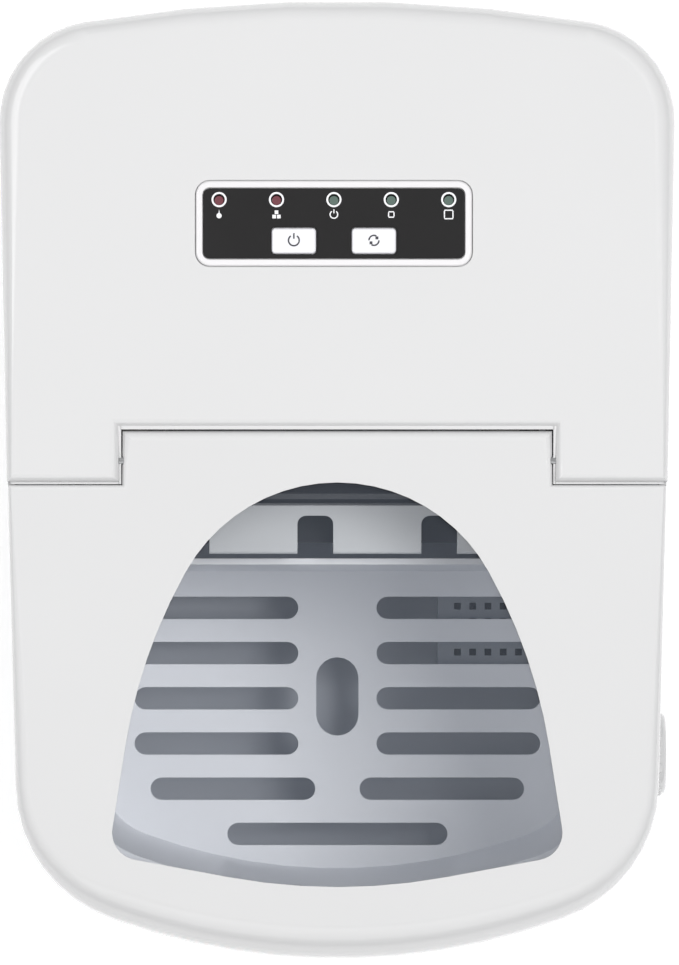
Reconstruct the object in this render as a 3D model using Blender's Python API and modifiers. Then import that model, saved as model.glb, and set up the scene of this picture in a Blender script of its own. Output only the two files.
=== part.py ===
"""Countertop bullet-ice maker, modelled as an assembly of separate pieces.

Metres, +Z up. The front faces -Y and the right side is +X. The origin is on the table, under the
middle of the body. Driving sizes come first, then the outlines, the modelling tools, one function for
each sub-assembly, and main().
"""

import math

import bmesh
import bpy
from mathutils import Matrix, Vector

# ---- Overall body ---------------------------------------------------------------------------------
GAP = 0.0003                # between pieces that touch
BODY_BOTTOM = 0.010         # lower edge of the body shell
REAR_APEX_Y = 0.1722        # middle of the bowed back
FRONT_APEX_Y = -0.1722      # middle of the bowed front
REAR_HALF_WIDTH = 0.1215    # side line, level with the rear corner
FRONT_HALF_WIDTH = 0.1154   # side line, level with the front corner
REAR_BOW_RADIUS = 0.550
REAR_BOW_TURN = math.radians(9.4)
REAR_CORNER_RADIUS = 0.036
FRONT_BOW_RADIUS = 0.235
FRONT_BOW_TURN = math.radians(20.0)
FRONT_CORNER_RADIUS = 0.052
ARC_STEPS = ((0.150, math.radians(3.5)), (0.060, math.radians(6.0)), (0.010, math.radians(9.0)),
             (0.003, math.radians(18.0)),
             (0.0, math.radians(31.0)))     # from this radius up, the turn between an arc's points

# ---- Seam, rear cover and lid ---------------------------------------------------------------------
SEAM_Z = 0.3020             # top of the body shell, behind the fold
SEAM_GAP = 0.0005
SLOPE = math.radians(9.5)   # fall of the lid, and of the seam under it
FOLD_Y = -0.0009            # the seam falls in front of this line
SHELL_WALL = 0.0026
COVER_FRONT_Y = 0.0003
COVER_TOP_Z = 0.3222        # plane of the rear cover's top, at y = 0
COVER_SLOPE = math.radians(2.4)
COVER_EDGE = 0.008          # rounding of the cover's outer edge
COVER_LIP = 0.003           # rounding of the cover's front edge
LID_TOP_Z = 0.3196          # plane of the lid's top, at y = 0
LID_SIDE_EDGE = 0.005
LID_FRONT_EDGE = 0.013
LID_SIDE_STEP = 0.0004      # the lid stands in from the rear cover's side by this
TONGUE_HALF = 0.0770
TONGUE_BACK_Y = 0.0185
TONGUE_LIFT = 0.0042        # underside of the tongue, over the seam
NOTCH_GAP_X = 0.0011
NOTCH_GAP_Y = 0.0015
EDGE_STEPS = 4
FLATNESS = 0.000002         # faces bent by more than this are split into triangles

# ---- Lid hinge --------------------------------------------------------------------------------------
HINGE_Y = 0.008
HINGE_Z = 0.3178
PIN_RADIUS = 0.0018
PIN_CLEARANCE = 0.0003
PIN_LENGTH = 0.014

# ---- Window -------------------------------------------------------------------------------------------
WINDOW_TOP_RADIUS = 0.062
WINDOW_TOP_TURN = math.radians(61.0)
WINDOW_TOP_Y = 0.0
WINDOW_SIDE = (0.0709, -0.0620, 0.190)
WINDOW_LOWER = (0.0824, -0.1340, 0.010)
WINDOW_BOTTOM_RADIUS = 0.215
WINDOW_BOTTOM_TURN = math.radians(10.5)
WINDOW_FLANGE = 0.0045
WINDOW_FIT = 0.0004
PANE = 0.0018
PANE_SINK = 0.0007          # the pane's face is this far under the lid's face

# ---- Control panel, in its own frame on the cover's top plane ------------------------------------------
PANEL_X = -0.0012
PANEL_Y = 0.0925
BEZEL_SIZE = (0.0987, 0.0305, 0.0050)       # width, depth, corner radius
BEZEL_RIM = 0.0024
BEZEL_PROUD = 0.0005
POCKET_DEPTH = 0.0015
PANEL_FIT = 0.0003
OVERLAY_SINK = 0.0002
LENS_PITCH = 0.0205
LENS_ROW_Y = 0.0082
LENS_RADIUS = 0.0017
LENS_DEPTH = 0.0080
LENS_NAMES = ("add_water_lens", "ice_full_lens", "power_lens", "small_ice_lens", "large_ice_lens")
LENS_COLOURS = ("lens_red", "lens_red", "lens_green", "lens_green", "lens_green")
BUTTON_SIZE = (0.0158, 0.0090, 0.0012)
BUTTON_ROW_Y = -0.0062
BUTTON_SPOTS = {"on_off_button": -0.0143, "select_button": 0.0143}
BUTTON_PROUD = 0.0014
BUTTON_FLANGE = 0.0014
BUTTON_FLANGE_DEPTH = 0.0012
BUTTON_STEM = 0.0030
BUTTON_TRAVEL = 0.0008
BOARD_SIZE = (0.096, 0.031, 0.0016)
BOARD_DROP = 0.0125         # top of the board under the panel plane
SWITCH_SIZE = (0.006, 0.006, 0.0043)
BOSS_RADIUS = 0.0030
BOSS_SPOT = (0.0445, 0.0122)

# ---- Base ---------------------------------------------------------------------------------------------
FOOT_HEIGHT = 0.008
FOOT_RADIUS = 0.011
FOOT_SPOTS = {"foot_rear_right": (0.088, 0.128), "foot_rear_left": (-0.088, 0.128),
              "foot_front_right": (0.080, -0.112), "foot_front_left": (-0.080, -0.112)}
PAN_HEIGHT = 0.014
PAN_WALL = 0.0025

# ---- Tub, insulation and basket -----------------------------------------------------------------------
DECK_DROP = 0.0025          # the tub's rim under the seam
TUB_INSET = 0.0180
TUB_LEDGE = 0.0022
TUB_WALL = 0.0025
TUB_FLOOR_Z = 0.040
TUB_REAR_Y = 0.0676
TUB_RIM_DEPTH = 0.0075      # the rim behind the tub
TUB_CORNER = 0.004
FOAM = 0.0060
BASKET_FLOOR_Z = 0.092
BASKET_RIM_Z = 0.232
BASKET_REAR_Y = -0.0280
BASKET_WALL = 0.0020
BASKET_DRAFT = 0.0035
BASKET_LIP = 0.0025
BASKET_PLAY = 0.0006
BASKET_CORNER = 0.012
SLOT_WIDTH = 0.0084
SLOT_PITCH = 0.0171
SLOT_FIRST_Y = -0.0474
SLOT_INNER_X = 0.0148
SLOT_OUTER_X = 0.0767
SLOT_ROWS = 4
SHORT_INNER_X = 0.0084
SHORT_OUTER_X = 0.0706
MIDDLE_SLOT_HALF = 0.0416
THUMB_SLOT = (0.0159, 0.0296)
THUMB_SLOT_Y = -0.0809

# ---- Harvest mechanism, about the tray's axis ------------------------------------------------------------
MID_X = -0.008              # middle of the mechanism: the tray motor takes the right side
AXIS_Y = 0.028
AXIS_Z = 0.268
TRAY_RADIUS = 0.036
TRAY_WALL = 0.0025
TRAY_REACH = math.radians(72.0)
FRAME_SPACE = 0.0035        # between the harvest frame's left side and the tub
HUB_RADIUS = 0.0075
STUB_RADIUS = 0.0035
SHAFT_RADIUS = 0.0030
BORE_CLEARANCE = 0.0003
ARM = 0.0025
SIDE_PLAY = 0.0010
PADDLE_DIP = math.radians(21.0)     # under level, at rest
PADDLE_ROOT = 0.0385
PADDLE_TIP = 0.0560
PADDLE = 0.0024
PADDLE_BULB = 0.0017
PADDLE_PITCH = 0.0451
PADDLE_SPACE = 0.0130
PADDLE_SPACE_ROOT = 0.0425
PADDLE_SPACE_CORNER = 0.0032
CHUTE_RADIUS = 0.0590
CHUTE = 0.0025
CHUTE_LIP = math.radians(32.0)      # under level, at the front edge
FRAME_WALL = 0.0025
FRAME_TOP_Z = 0.2870
FINGER_RADIUS = 0.005
FINGER_TIP_RADIUS = 0.003
FINGER_TIP_Z = 0.2460
FINGER_PITCH = 0.032
FINGER_ROW = 0.012
BLOCK_END_SPACE = 0.006     # between the evaporator block's ends and the tray's
BLOCK_DEPTH = 0.036
BLOCK_HEIGHT = 0.007
BLOCK_Z = 0.2740
BRACKET_HALF = 0.060
BRACKET = 0.0025
MOTOR_RADIUS = 0.018
MOTOR_DEPTH = 0.0150

# ---- Water ---------------------------------------------------------------------------------------------
PUMP_X = 0.060
PUMP_Y = -0.0585
PUMP_RADIUS = 0.014
PUMP_HEIGHT = 0.028
STRAINER_SIZE = (0.044, 0.038)
STRAINER_TOP_Z = 0.080
STRAINER_WALL = 0.0016
STRAINER_HOLE = 0.0026
STRAINER_PITCH = 0.0058
STRAINER_COLUMNS = 6
STRAINER_ROWS = 5
HOSE_RADIUS = 0.0040
SENSOR_SIZE = (0.006, 0.012, 0.010)
SENSOR_Y = -0.040
SENSOR_Z = 0.266
DRAIN_Y = -0.1035
DRAIN_Z = 0.052
DRAIN_BORE = 0.0050
DRAIN_RADIUS = 0.0080
SPOUT_ROOT = 0.012          # from the tub's side inwards, to the spout's start
CAP_RADIUS = 0.0156
CAP_STANDOFF = 0.0012       # between the shell's side and the cap's rim
CAP_THICKNESS = 0.0075
PLUG_LENGTH = 0.0120

# ---- Refrigeration -------------------------------------------------------------------------------------
COMPRESSOR_XY = (-0.058, 0.1215)
COMPRESSOR_RADIUS = 0.041
COMPRESSOR_Z = (0.0230, 0.145)
COMPRESSOR_DOME = 0.014
GROMMET_RADIUS = 0.007
GROMMET_RING = 0.030
FAN_X = 0.044
FAN_RADIUS = 0.041
FAN_CLEARANCE = 0.002
SHROUD_SIZE = 0.092
SHROUD_DEPTH = 0.0205
SHROUD_SPACE = 0.0092       # behind the shroud, to the base pan's rim
SPIDER_WIDTH = 0.006
SPIDER_DEPTH = 0.004
FAN_MOTOR_RADIUS = 0.015
FAN_MOTOR_DEPTH = 0.018
FAN_HUB_RADIUS = 0.011
FAN_BLADES = 5
CONDENSER_Y = (0.092, 0.112)
CONDENSER_SIZE = (0.088, 0.100)
CONDENSER_HEADER = 0.005
FIN_COUNT = 15
FIN = 0.0016
TUBE_RADIUS = 0.0028
CAPILLARY_RADIUS = 0.0014
DRIER_XY = (-0.012, 0.149)
DRIER_RADIUS = 0.007
DRIER_Z = (0.070, 0.128)
POWER_BOARD_SIZE = (0.090, 0.0016, 0.080)
POWER_BOARD_SPOT = (0.045, 0.200)

# ---- Vents and inlet -----------------------------------------------------------------------------------
VENT_SLOT = 0.0036
VENT_PITCH = 0.0085
VENT_Y = (0.050, 0.116)
VENT_Z = 0.055
VENT_COUNT = 10
EXHAUST_HALF = 0.034
EXHAUST_COUNT = 8
INLET_X = -0.008
INLET_Z = 0.036
INLET_SIZE = (0.0300, 0.0225, 0.0030)
INLET_FLANGE = 0.0030
INLET_DEPTH = 0.0160

# ---- Colours: red, green, blue, roughness, metallic, alpha ------------------------------------------------
COLOURS = {
    "white_plastic": (0.86, 0.86, 0.86, 0.25, 0.0, 1.0),
    "grey_plastic": (0.55, 0.58, 0.64, 0.35, 0.0, 1.0),
    "basket_plastic": (0.62, 0.66, 0.73, 0.35, 0.0, 1.0),
    "tinted_window": (0.45, 0.50, 0.58, 0.05, 0.0, 0.35),
    "bezel_silver": (0.80, 0.80, 0.81, 0.25, 0.6, 1.0),
    "panel_black": (0.015, 0.014, 0.015, 0.45, 0.0, 1.0),
    "lens_red": (0.16, 0.02, 0.03, 0.25, 0.0, 1.0),
    "lens_green": (0.05, 0.16, 0.10, 0.25, 0.0, 1.0),
    "button_white": (0.84, 0.84, 0.86, 0.30, 0.0, 1.0),
    "board_green": (0.03, 0.16, 0.08, 0.50, 0.0, 1.0),
    "black_plastic": (0.03, 0.03, 0.03, 0.45, 0.0, 1.0),
    "steel": (0.62, 0.63, 0.64, 0.30, 1.0, 1.0),
    "nickel": (0.70, 0.68, 0.64, 0.22, 1.0, 1.0),
    "copper": (0.72, 0.38, 0.24, 0.28, 1.0, 1.0),
    "aluminium": (0.75, 0.76, 0.77, 0.40, 1.0, 1.0),
    "black_paint": (0.02, 0.02, 0.022, 0.35, 0.0, 1.0),
    "foam": (0.88, 0.88, 0.86, 0.90, 0.0, 1.0),
    "rubber": (0.03, 0.03, 0.03, 0.85, 0.0, 1.0),
    "silicone": (0.75, 0.78, 0.80, 0.40, 0.0, 1.0),
}

# ---- Worked out from the sizes above -------------------------------------------------------------------
FLOOR_Z = FOOT_HEIGHT + PAN_WALL            # inside of the base pan
FAN_Z = FLOOR_Z + GAP + SHROUD_SIZE / 2
SHROUD_BACK = REAR_APEX_Y - SHELL_WALL - PAN_WALL - SHROUD_SPACE
SHROUD_Y = (SHROUD_BACK - SHROUD_DEPTH, SHROUD_BACK)
FRAME_FRONT_Y = AXIS_Y - CHUTE_RADIUS * math.cos(CHUTE_LIP)
FRAME_REAR_Y = TUB_REAR_Y - GAP
LEDGE_Z = BASKET_RIM_Z - BASKET_LIP - GAP


# ==== Outlines ============================================================================================

def ring(half):
    """All corners of a symmetric outline, anticlockwise, from its right half listed back to front."""
    left = [(-x, y, radius) for x, y, radius in reversed(half) if x > GAP]
    return (list(half) + left)[::-1]


def edge_directions(corners, i):
    here = Vector(corners[i][:2])
    before = (here - Vector(corners[i - 1][:2])).normalized()
    after = (Vector(corners[(i + 1) % len(corners)][:2]) - here).normalized()
    return here, before, after


def corner_rim(corners, i):
    """Points of one rounded corner, each with the step that moves it inwards by one unit."""
    here, before, after = edge_directions(corners, i)
    radius = corners[i][2]
    turn = math.atan2(before.cross(after), before.dot(after))
    if radius <= 0.0 or abs(turn) < 1e-4:
        inward = Vector((-before.y, before.x)) + Vector((-after.y, after.x))
        return [(here, inward * 2 / inward.length_squared)]
    side = math.copysign(1.0, turn)
    start = here - before * radius * math.tan(abs(turn) / 2)
    centre = start + Vector((-before.y, before.x)) * radius * side
    arm = start - centre
    step = next(angle for least, angle in ARC_STEPS if radius >= least)
    steps = max(2, round(abs(turn) / step))
    spokes = [Matrix.Rotation(turn * k / steps, 2) @ arm for k in range(steps + 1)]
    return [(centre + spoke, -spoke * side / radius) for spoke in spokes]


def rim(corners):
    """Every point of an outline, each with its inward step."""
    return [pair for i in range(len(corners)) for pair in corner_rim(corners, i)]


def inset(corners, distance):
    """The corners of the outline moved inwards by distance."""
    moved = []
    for i, (_, _, radius) in enumerate(corners):
        here, before, after = edge_directions(corners, i)
        inward = Vector((-before.y, before.x)) + Vector((-after.y, after.x))
        point = here + inward * 2 * distance / inward.length_squared
        change = distance if before.cross(after) > 0 else -distance
        moved.append((point.x, point.y, max(radius - change, GAP) if radius > 0 else 0.0))
    return moved


def peak_y(apex_y, radius, turn):
    """Where the two straight lines of a bowed end meet, on the middle line."""
    return apex_y + math.copysign(radius * (1 / math.cos(turn) - 1), apex_y)


def rear_corner_y():
    return peak_y(REAR_APEX_Y, REAR_BOW_RADIUS, REAR_BOW_TURN) - REAR_HALF_WIDTH * math.tan(REAR_BOW_TURN)


def front_corner_y():
    peak = peak_y(FRONT_APEX_Y, FRONT_BOW_RADIUS, FRONT_BOW_TURN)
    return peak + FRONT_HALF_WIDTH * math.tan(FRONT_BOW_TURN)


def side_x(y):
    """Half width of the body's side line at y."""
    share = (y - front_corner_y()) / (rear_corner_y() - front_corner_y())
    return FRONT_HALF_WIDTH + (REAR_HALF_WIDTH - FRONT_HALF_WIDTH) * share


# The mechanism fills the tub's width, apart from the motor's side; the cap stands on the shell's side.
TUB_HALF = side_x(0.0) - TUB_INSET - TUB_LEDGE
FRAME_HALF = TUB_HALF + MID_X - FRAME_SPACE - FRAME_WALL    # to the harvest frame's inner faces
TRAY_HALF = FRAME_HALF - SIDE_PLAY - ARM - 2 * GAP
MOTOR_FACE_X = MID_X + FRAME_HALF + FRAME_WALL + GAP
BLOCK_LENGTH = 2 * (TRAY_HALF - BLOCK_END_SPACE)
CAP_FACE_X = side_x(DRAIN_Y + CAP_RADIUS) + CAP_STANDOFF + CAP_THICKNESS


def rear_end():
    return [(0.0, peak_y(REAR_APEX_Y, REAR_BOW_RADIUS, REAR_BOW_TURN), REAR_BOW_RADIUS),
            (REAR_HALF_WIDTH, rear_corner_y(), REAR_CORNER_RADIUS)]


def front_end(step=0.0):
    return [(FRONT_HALF_WIDTH - step, front_corner_y(), FRONT_CORNER_RADIUS),
            (0.0, peak_y(FRONT_APEX_Y, FRONT_BOW_RADIUS, FRONT_BOW_TURN), FRONT_BOW_RADIUS)]


def body_corners():
    return ring(rear_end() + [(side_x(FOLD_Y), FOLD_Y, 0.0)] + front_end())


def vessel_corners(distance, rear_y, corner):
    """A vessel in the front of the body: inset by distance, with a straight back at rear_y."""
    front = [c for c in inset(body_corners(), distance) if c[0] > -GAP and c[1] < TONGUE_BACK_Y]
    front.sort(key=lambda c: -c[1])
    lean = (REAR_HALF_WIDTH - FRONT_HALF_WIDTH) / (rear_corner_y() - front_corner_y())
    fold_x, fold_y, _ = front[0]
    if rear_y < fold_y:
        front = front[1:]
    return ring([(fold_x + lean * (rear_y - fold_y), rear_y, corner)] + front)


def cover_corners():
    """The rear cover, with the notch that takes the lid's tongue."""
    notch_x = TONGUE_HALF + NOTCH_GAP_X
    return ring(rear_end() + [(side_x(COVER_FRONT_Y), COVER_FRONT_Y, 0.0), (notch_x, COVER_FRONT_Y, 0.0),
                              (notch_x, TONGUE_BACK_Y + NOTCH_GAP_Y, 0.0)])


def lid_corners():
    return ring([(TONGUE_HALF, TONGUE_BACK_Y, 0.0), (TONGUE_HALF, FOLD_Y, 0.0),
                 (side_x(FOLD_Y) - LID_SIDE_STEP, FOLD_Y, 0.0)] + front_end(LID_SIDE_STEP))


def window_corners():
    lower_x, lower_y, _ = WINDOW_LOWER
    return ring([(0.0, WINDOW_TOP_Y + WINDOW_TOP_RADIUS * (1 / math.cos(WINDOW_TOP_TURN) - 1),
                  WINDOW_TOP_RADIUS), WINDOW_SIDE, WINDOW_LOWER,
                 (0.0, lower_y - lower_x * math.tan(WINDOW_BOTTOM_TURN), WINDOW_BOTTOM_RADIUS)])


def box_corners(width, depth, radius, x=0.0, y=0.0):
    w, d = width / 2, depth / 2
    return [(x + w, y + d, radius), (x - w, y + d, radius), (x - w, y - d, radius), (x + w, y - d, radius)]


def slot_corners(width, depth, x, y):
    """A slot with round ends, along its longer side."""
    return box_corners(width, depth, min(width, depth) * 0.4999, x, y)


def seam_fall(y):
    """Height of the seam in front of the fold, under its height behind."""
    return min(y - FOLD_Y, 0.0) * math.tan(SLOPE)


def lid_top(y):
    return LID_TOP_Z + y * math.tan(SLOPE)


def cover_top(y):
    return COVER_TOP_Z + y * math.tan(COVER_SLOPE)


def about_axis(radius, dip):
    """A point of the harvest mechanism: its distance from the axis and its angle under level, forwards."""
    return AXIS_Y - radius * math.cos(dip), AXIS_Z - radius * math.sin(dip)


def arc(radius, start, end, steps):
    return [about_axis(radius, start + (end - start) * k / steps) for k in range(steps + 1)]


# ==== Modelling tools =====================================================================================

def level(pairs, distance, z):
    """An outline's points moved inwards, at height z. Both may depend on the point and its inward step."""
    points = []
    for point, inward in pairs:
        step = distance(point, inward) if callable(distance) else distance
        here = point + inward * step
        points.append(Vector((here.x, here.y, z(here.y) if callable(z) else z)))
    return points


def add_loft(bm, rings, closed=False):
    """Skin a row of rings with the same number of points, and cap its ends or join them."""
    rows = [[bm.verts.new(p) for p in points] for points in rings]
    for low, high in zip(rows, rows[1:] + rows[:1] if closed else rows[1:]):
        for i in range(len(low)):
            j = (i + 1) % len(low)
            bm.faces.new((low[i], low[j], high[j], high[i]))
    if not closed:
        bm.faces.new(rows[0][::-1])
        bm.faces.new(rows[-1])


def add_prism(bm, corners, z0, z1, matrix=None):
    """A flat outline given a thickness, then turned and moved by matrix."""
    points = [p for p, _ in rim(corners)]
    add_bar(bm, points, z0, z1, matrix)


def add_bar(bm, points, z0, z1, matrix=None):
    face = bm.faces.new([bm.verts.new((x, y, z0)) for x, y in points])
    made = bmesh.ops.extrude_face_region(bm, geom=[face])
    top = [v for v in made["geom"] if isinstance(v, bmesh.types.BMVert)]
    bmesh.ops.translate(bm, verts=top, vec=(0, 0, z1 - z0))
    if matrix:
        bmesh.ops.transform(bm, matrix=matrix, verts=list(face.verts) + top)


def add_box(bm, low, high):
    low, high = Vector(low), Vector(high)
    size = Matrix.Diagonal((*(high - low), 1.0))
    bmesh.ops.create_cube(bm, size=1.0, matrix=Matrix.Translation((low + high) / 2) @ size)


def add_rod(bm, start, end, radius, end_radius=None, sides=24):
    start, end = Vector(start), Vector(end)
    turn = (end - start).to_track_quat("Z", "Y").to_matrix().to_4x4()
    bmesh.ops.create_cone(bm, cap_ends=True, segments=sides, radius1=radius, depth=(end - start).length,
                          radius2=radius if end_radius is None else end_radius,
                          matrix=Matrix.Translation((start + end) / 2) @ turn)


def is_warped(face):
    """Whether a face's corners lie off its plane, so that it must be split before it is cut."""
    middle = face.calc_center_median()
    return any(abs((vert.co - middle).dot(face.normal)) > FLATNESS for vert in face.verts)


def make_material(name, colour):
    red, green, blue, roughness, metallic, alpha = COLOURS[colour]
    material = bpy.data.materials.new(name)
    material.use_nodes = True
    shader = material.node_tree.nodes["Principled BSDF"]
    shader.inputs["Base Color"].default_value = (red, green, blue, 1.0)
    shader.inputs["Roughness"].default_value = roughness
    shader.inputs["Metallic"].default_value = metallic
    shader.inputs["Alpha"].default_value = alpha
    return material


def add_object(name, data, colour, parent=None, location=(0, 0, 0)):
    """Put a mesh or curve in the scene: a part if it has a colour, otherwise a cutter."""
    obj = bpy.data.objects.new(name, data)
    bpy.data.collections["parts" if colour else "cutters"].objects.link(obj)
    obj.parent = parent
    obj.location = location
    if colour:
        obj.data.materials.append(make_material(name + "_finish", colour))
    else:
        obj.hide_render = True
        obj.display_type = "WIRE"
    return obj


def add_mesh(name, bm, colour=None, parent=None, pivot=(0, 0, 0)):
    """A mesh drawn in the body's frame, with its origin at pivot."""
    bmesh.ops.translate(bm, verts=bm.verts, vec=-Vector(pivot))
    bmesh.ops.recalc_face_normals(bm, faces=bm.faces)
    bmesh.ops.triangulate(bm, faces=[face for face in bm.faces if is_warped(face)])
    mesh = bpy.data.meshes.new(name)
    bm.to_mesh(mesh)
    bm.free()
    if colour:
        mesh.shade_smooth()
        mesh.set_sharp_from_angle(angle=math.radians(35))
    return add_object(name, mesh, colour, parent, (0, 0, 0) if parent else pivot)


def combine(target, other, operation="DIFFERENCE"):
    step = target.modifiers.new(other.name, "BOOLEAN")
    step.object = other
    step.operation = operation
    step.solver = "EXACT"


def turned(name, profile, colour, location, direction="Z", sides=32, parent=None):
    """A solid of revolution: (radius, height) points from the top down the outside to the bottom."""
    mesh = bpy.data.meshes.new(name)
    verts = [(radius, 0.0, height) for radius, height in profile]
    mesh.from_pydata(verts, [(i, i + 1) for i in range(len(verts) - 1)], [])
    obj = add_object(name, mesh, colour, parent, location)
    if direction == "Y":
        obj.rotation_euler = (-math.pi / 2, 0, 0)
    if direction == "X":
        obj.rotation_euler = (0, math.pi / 2, 0)
    screw = obj.modifiers.new("Turn", "SCREW")
    screw.steps = sides
    screw.render_steps = sides
    screw.use_merge_vertices = True
    screw.merge_threshold = 0.00001
    screw.use_smooth_shade = True
    return obj


def bend(points, radius, steps=3):
    """A path with each inner corner rounded to radius."""
    path = [Vector(p) for p in points]
    smooth = [path[0]]
    for before, here, after in zip(path, path[1:], path[2:]):
        into = (here - before).normalized()
        out = (after - here).normalized()
        angle = into.angle(out)
        if angle < 0.05:
            continue
        reach = radius * math.tan(angle / 2)
        hub = here + (out - into).normalized() * radius / math.cos(angle / 2)
        arm = here - into * reach - hub
        axis = into.cross(out)
        smooth += [hub + Matrix.Rotation(angle * k / steps, 3, axis) @ arm for k in range(steps + 1)]
    return smooth + [path[-1]]


def tube(name, points, radius, bend_radius, colour):
    curve = bpy.data.curves.new(name, "CURVE")
    curve.dimensions = "3D"
    path = bend(points, bend_radius)
    spline = curve.splines.new("POLY")
    spline.points.add(len(path) - 1)
    for spot, point in zip(spline.points, path):
        spot.co = (*point, 1.0)
    curve.bevel_depth = radius
    curve.bevel_resolution = 1
    curve.use_fill_caps = True
    return add_object(name, curve, colour)


def along_x(x=0.0):
    """Turns a profile drawn as (y, z) and given its thickness along X."""
    return Matrix.Translation((x, 0, 0)) @ Matrix(((0, 0, 1, 0), (1, 0, 0, 0), (0, 1, 0, 0), (0, 0, 0, 1)))


def along_y():
    """Turns a profile drawn as (x, z) and given its thickness along -Y."""
    return Matrix(((1, 0, 0, 0), (0, 0, -1, 0), (0, 1, 0, 0), (0, 0, 0, 1)))


def empty(name, location, rotation=(0, 0, 0)):
    holder = bpy.data.objects.new(name, None)
    bpy.data.collections["parts"].objects.link(holder)
    holder.location = location
    holder.rotation_euler = rotation
    return holder


# ==== Covers and lid ======================================================================================

def quarter(steps=EDGE_STEPS):
    return [math.pi / 2 * k / steps for k in range(steps + 1)]


def cover_shell(corners, top, bottom, width, drop, cap_wall):
    """A moulded cover, open underneath. Its outer edge is rounded: width inwards and drop down."""
    pairs = rim(corners)

    def ring_at(share, wall, lower):
        points = []
        for point, inward in pairs:
            w, d = width(point, inward), drop(point, inward)
            here = point + inward * (wall + max(w - wall, GAP) * share if wall else w * share)
            fall = (d - wall if wall else d) * (1 - lower)
            points.append(Vector((here.x, here.y, top(here.y) - wall - max(fall, 0.0))))
        return points

    outer = [ring_at(1 - math.cos(t), 0.0, math.sin(t)) for t in quarter()]
    inner = [ring_at(1 - math.cos(t), cap_wall, math.sin(t)) for t in quarter()]
    feet = [level(pairs, 0.0, bottom), level(pairs, cap_wall, bottom)]
    bm = bmesh.new()
    add_loft(bm, outer[::-1] + feet + inner)
    return bm


def build_lid():
    hinge = empty("lid_hinge", (0, HINGE_Y, HINGE_Z))
    pivot = (0, HINGE_Y, HINGE_Z)

    def facing(inward):
        return max(0.0, inward.y / max(inward.length, 1e-9)) ** 2

    def width(point, inward):
        front = facing(inward) if point.y < FOLD_Y - GAP else 0.0
        if point.y > FOLD_Y - GAP:
            return LID_SIDE_EDGE * (0.35 if point.y < TONGUE_BACK_Y - GAP else 0.8)
        return LID_SIDE_EDGE + (LID_FRONT_EDGE - LID_SIDE_EDGE) * front

    def bottom(y):
        lift = TONGUE_LIFT if y > FOLD_Y + SHELL_WALL + GAP else 0.0
        return SEAM_Z + SEAM_GAP + seam_fall(y) + lift

    bm = cover_shell(lid_corners(), lid_top, bottom, width, width, SHELL_WALL)
    frame = add_mesh("lid_frame", bm, "white_plastic", hinge, pivot)
    bm = bmesh.new()
    add_prism(bm, window_corners(), SEAM_Z - 0.05, LID_TOP_Z + 0.02)
    opening = add_mesh("window_opening", bm, None, hinge, pivot)
    combine(frame, opening)
    bm = bmesh.new()
    start = TONGUE_HALF + NOTCH_GAP_X / 2 - PIN_LENGTH / 2 - GAP
    for side in (-1, 1):
        add_rod(bm, (side * start, HINGE_Y, HINGE_Z), (side * (TONGUE_HALF + SHELL_WALL), HINGE_Y, HINGE_Z),
                PIN_RADIUS + PIN_CLEARANCE)
    combine(frame, add_mesh("lid_pin_bores", bm, None, hinge, pivot))

    def pane_ring(distance, depth):
        return level(rim(window_corners()), distance, lambda y: lid_top(y) - depth)

    under = SHELL_WALL + GAP
    bm = bmesh.new()
    add_loft(bm, [pane_ring(-WINDOW_FLANGE, under + PANE), pane_ring(-WINDOW_FLANGE, under),
                  pane_ring(WINDOW_FIT, under), pane_ring(WINDOW_FIT, PANE_SINK)])
    add_mesh("lid_window", bm, "tinted_window", hinge, pivot)


def build_hinge_pins():
    for name, side in (("hinge_pin_right", 1), ("hinge_pin_left", -1)):
        bm = bmesh.new()
        middle = side * (TONGUE_HALF + NOTCH_GAP_X / 2)
        add_rod(bm, (middle - PIN_LENGTH / 2, HINGE_Y, HINGE_Z), (middle + PIN_LENGTH / 2, HINGE_Y, HINGE_Z),
                PIN_RADIUS)
        add_mesh(name, bm, "steel")


def build_rear_cover(panel):
    def outer(point):
        return point.y > TONGUE_BACK_Y + 2 * NOTCH_GAP_Y

    def width(point, inward):
        return COVER_EDGE if outer(point) else COVER_LIP

    bm = cover_shell(cover_corners(), cover_top, SEAM_Z + SEAM_GAP, width, width, SHELL_WALL)
    cover = add_mesh("rear_cover", bm, "white_plastic")
    width_, depth, corner = BEZEL_SIZE
    bm = bmesh.new()
    add_prism(bm, box_corners(width_ + 2 * PANEL_FIT, depth + 2 * PANEL_FIT, corner + PANEL_FIT),
              -POCKET_DEPTH, COVER_EDGE)
    combine(cover, add_mesh("panel_pocket", bm, None, panel))
    bm = bmesh.new()
    add_panel_holes(bm, PANEL_FIT)
    combine(cover, add_mesh("cover_panel_holes", bm, None, panel))
    bm = bmesh.new()
    for x, y in boss_spots():
        add_rod(bm, (x, y, -BOARD_DROP + GAP), (x, y, -SHELL_WALL + GAP), BOSS_RADIUS, sides=12)
    combine(cover, add_mesh("board_bosses", bm, None, panel), "UNION")
    bm = bmesh.new()
    reach = TONGUE_HALF + PIN_LENGTH
    add_rod(bm, (-reach, HINGE_Y, HINGE_Z), (reach, HINGE_Y, HINGE_Z), PIN_RADIUS + PIN_CLEARANCE)
    combine(cover, add_mesh("cover_pin_bores", bm))


# ==== Control panel =======================================================================================

def lens_x(i):
    return (i - (len(LENS_NAMES) - 1) / 2) * LENS_PITCH


def boss_spots():
    x, y = BOSS_SPOT
    return [(x, y), (-x, y), (x, -y), (-x, -y)]


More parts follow.
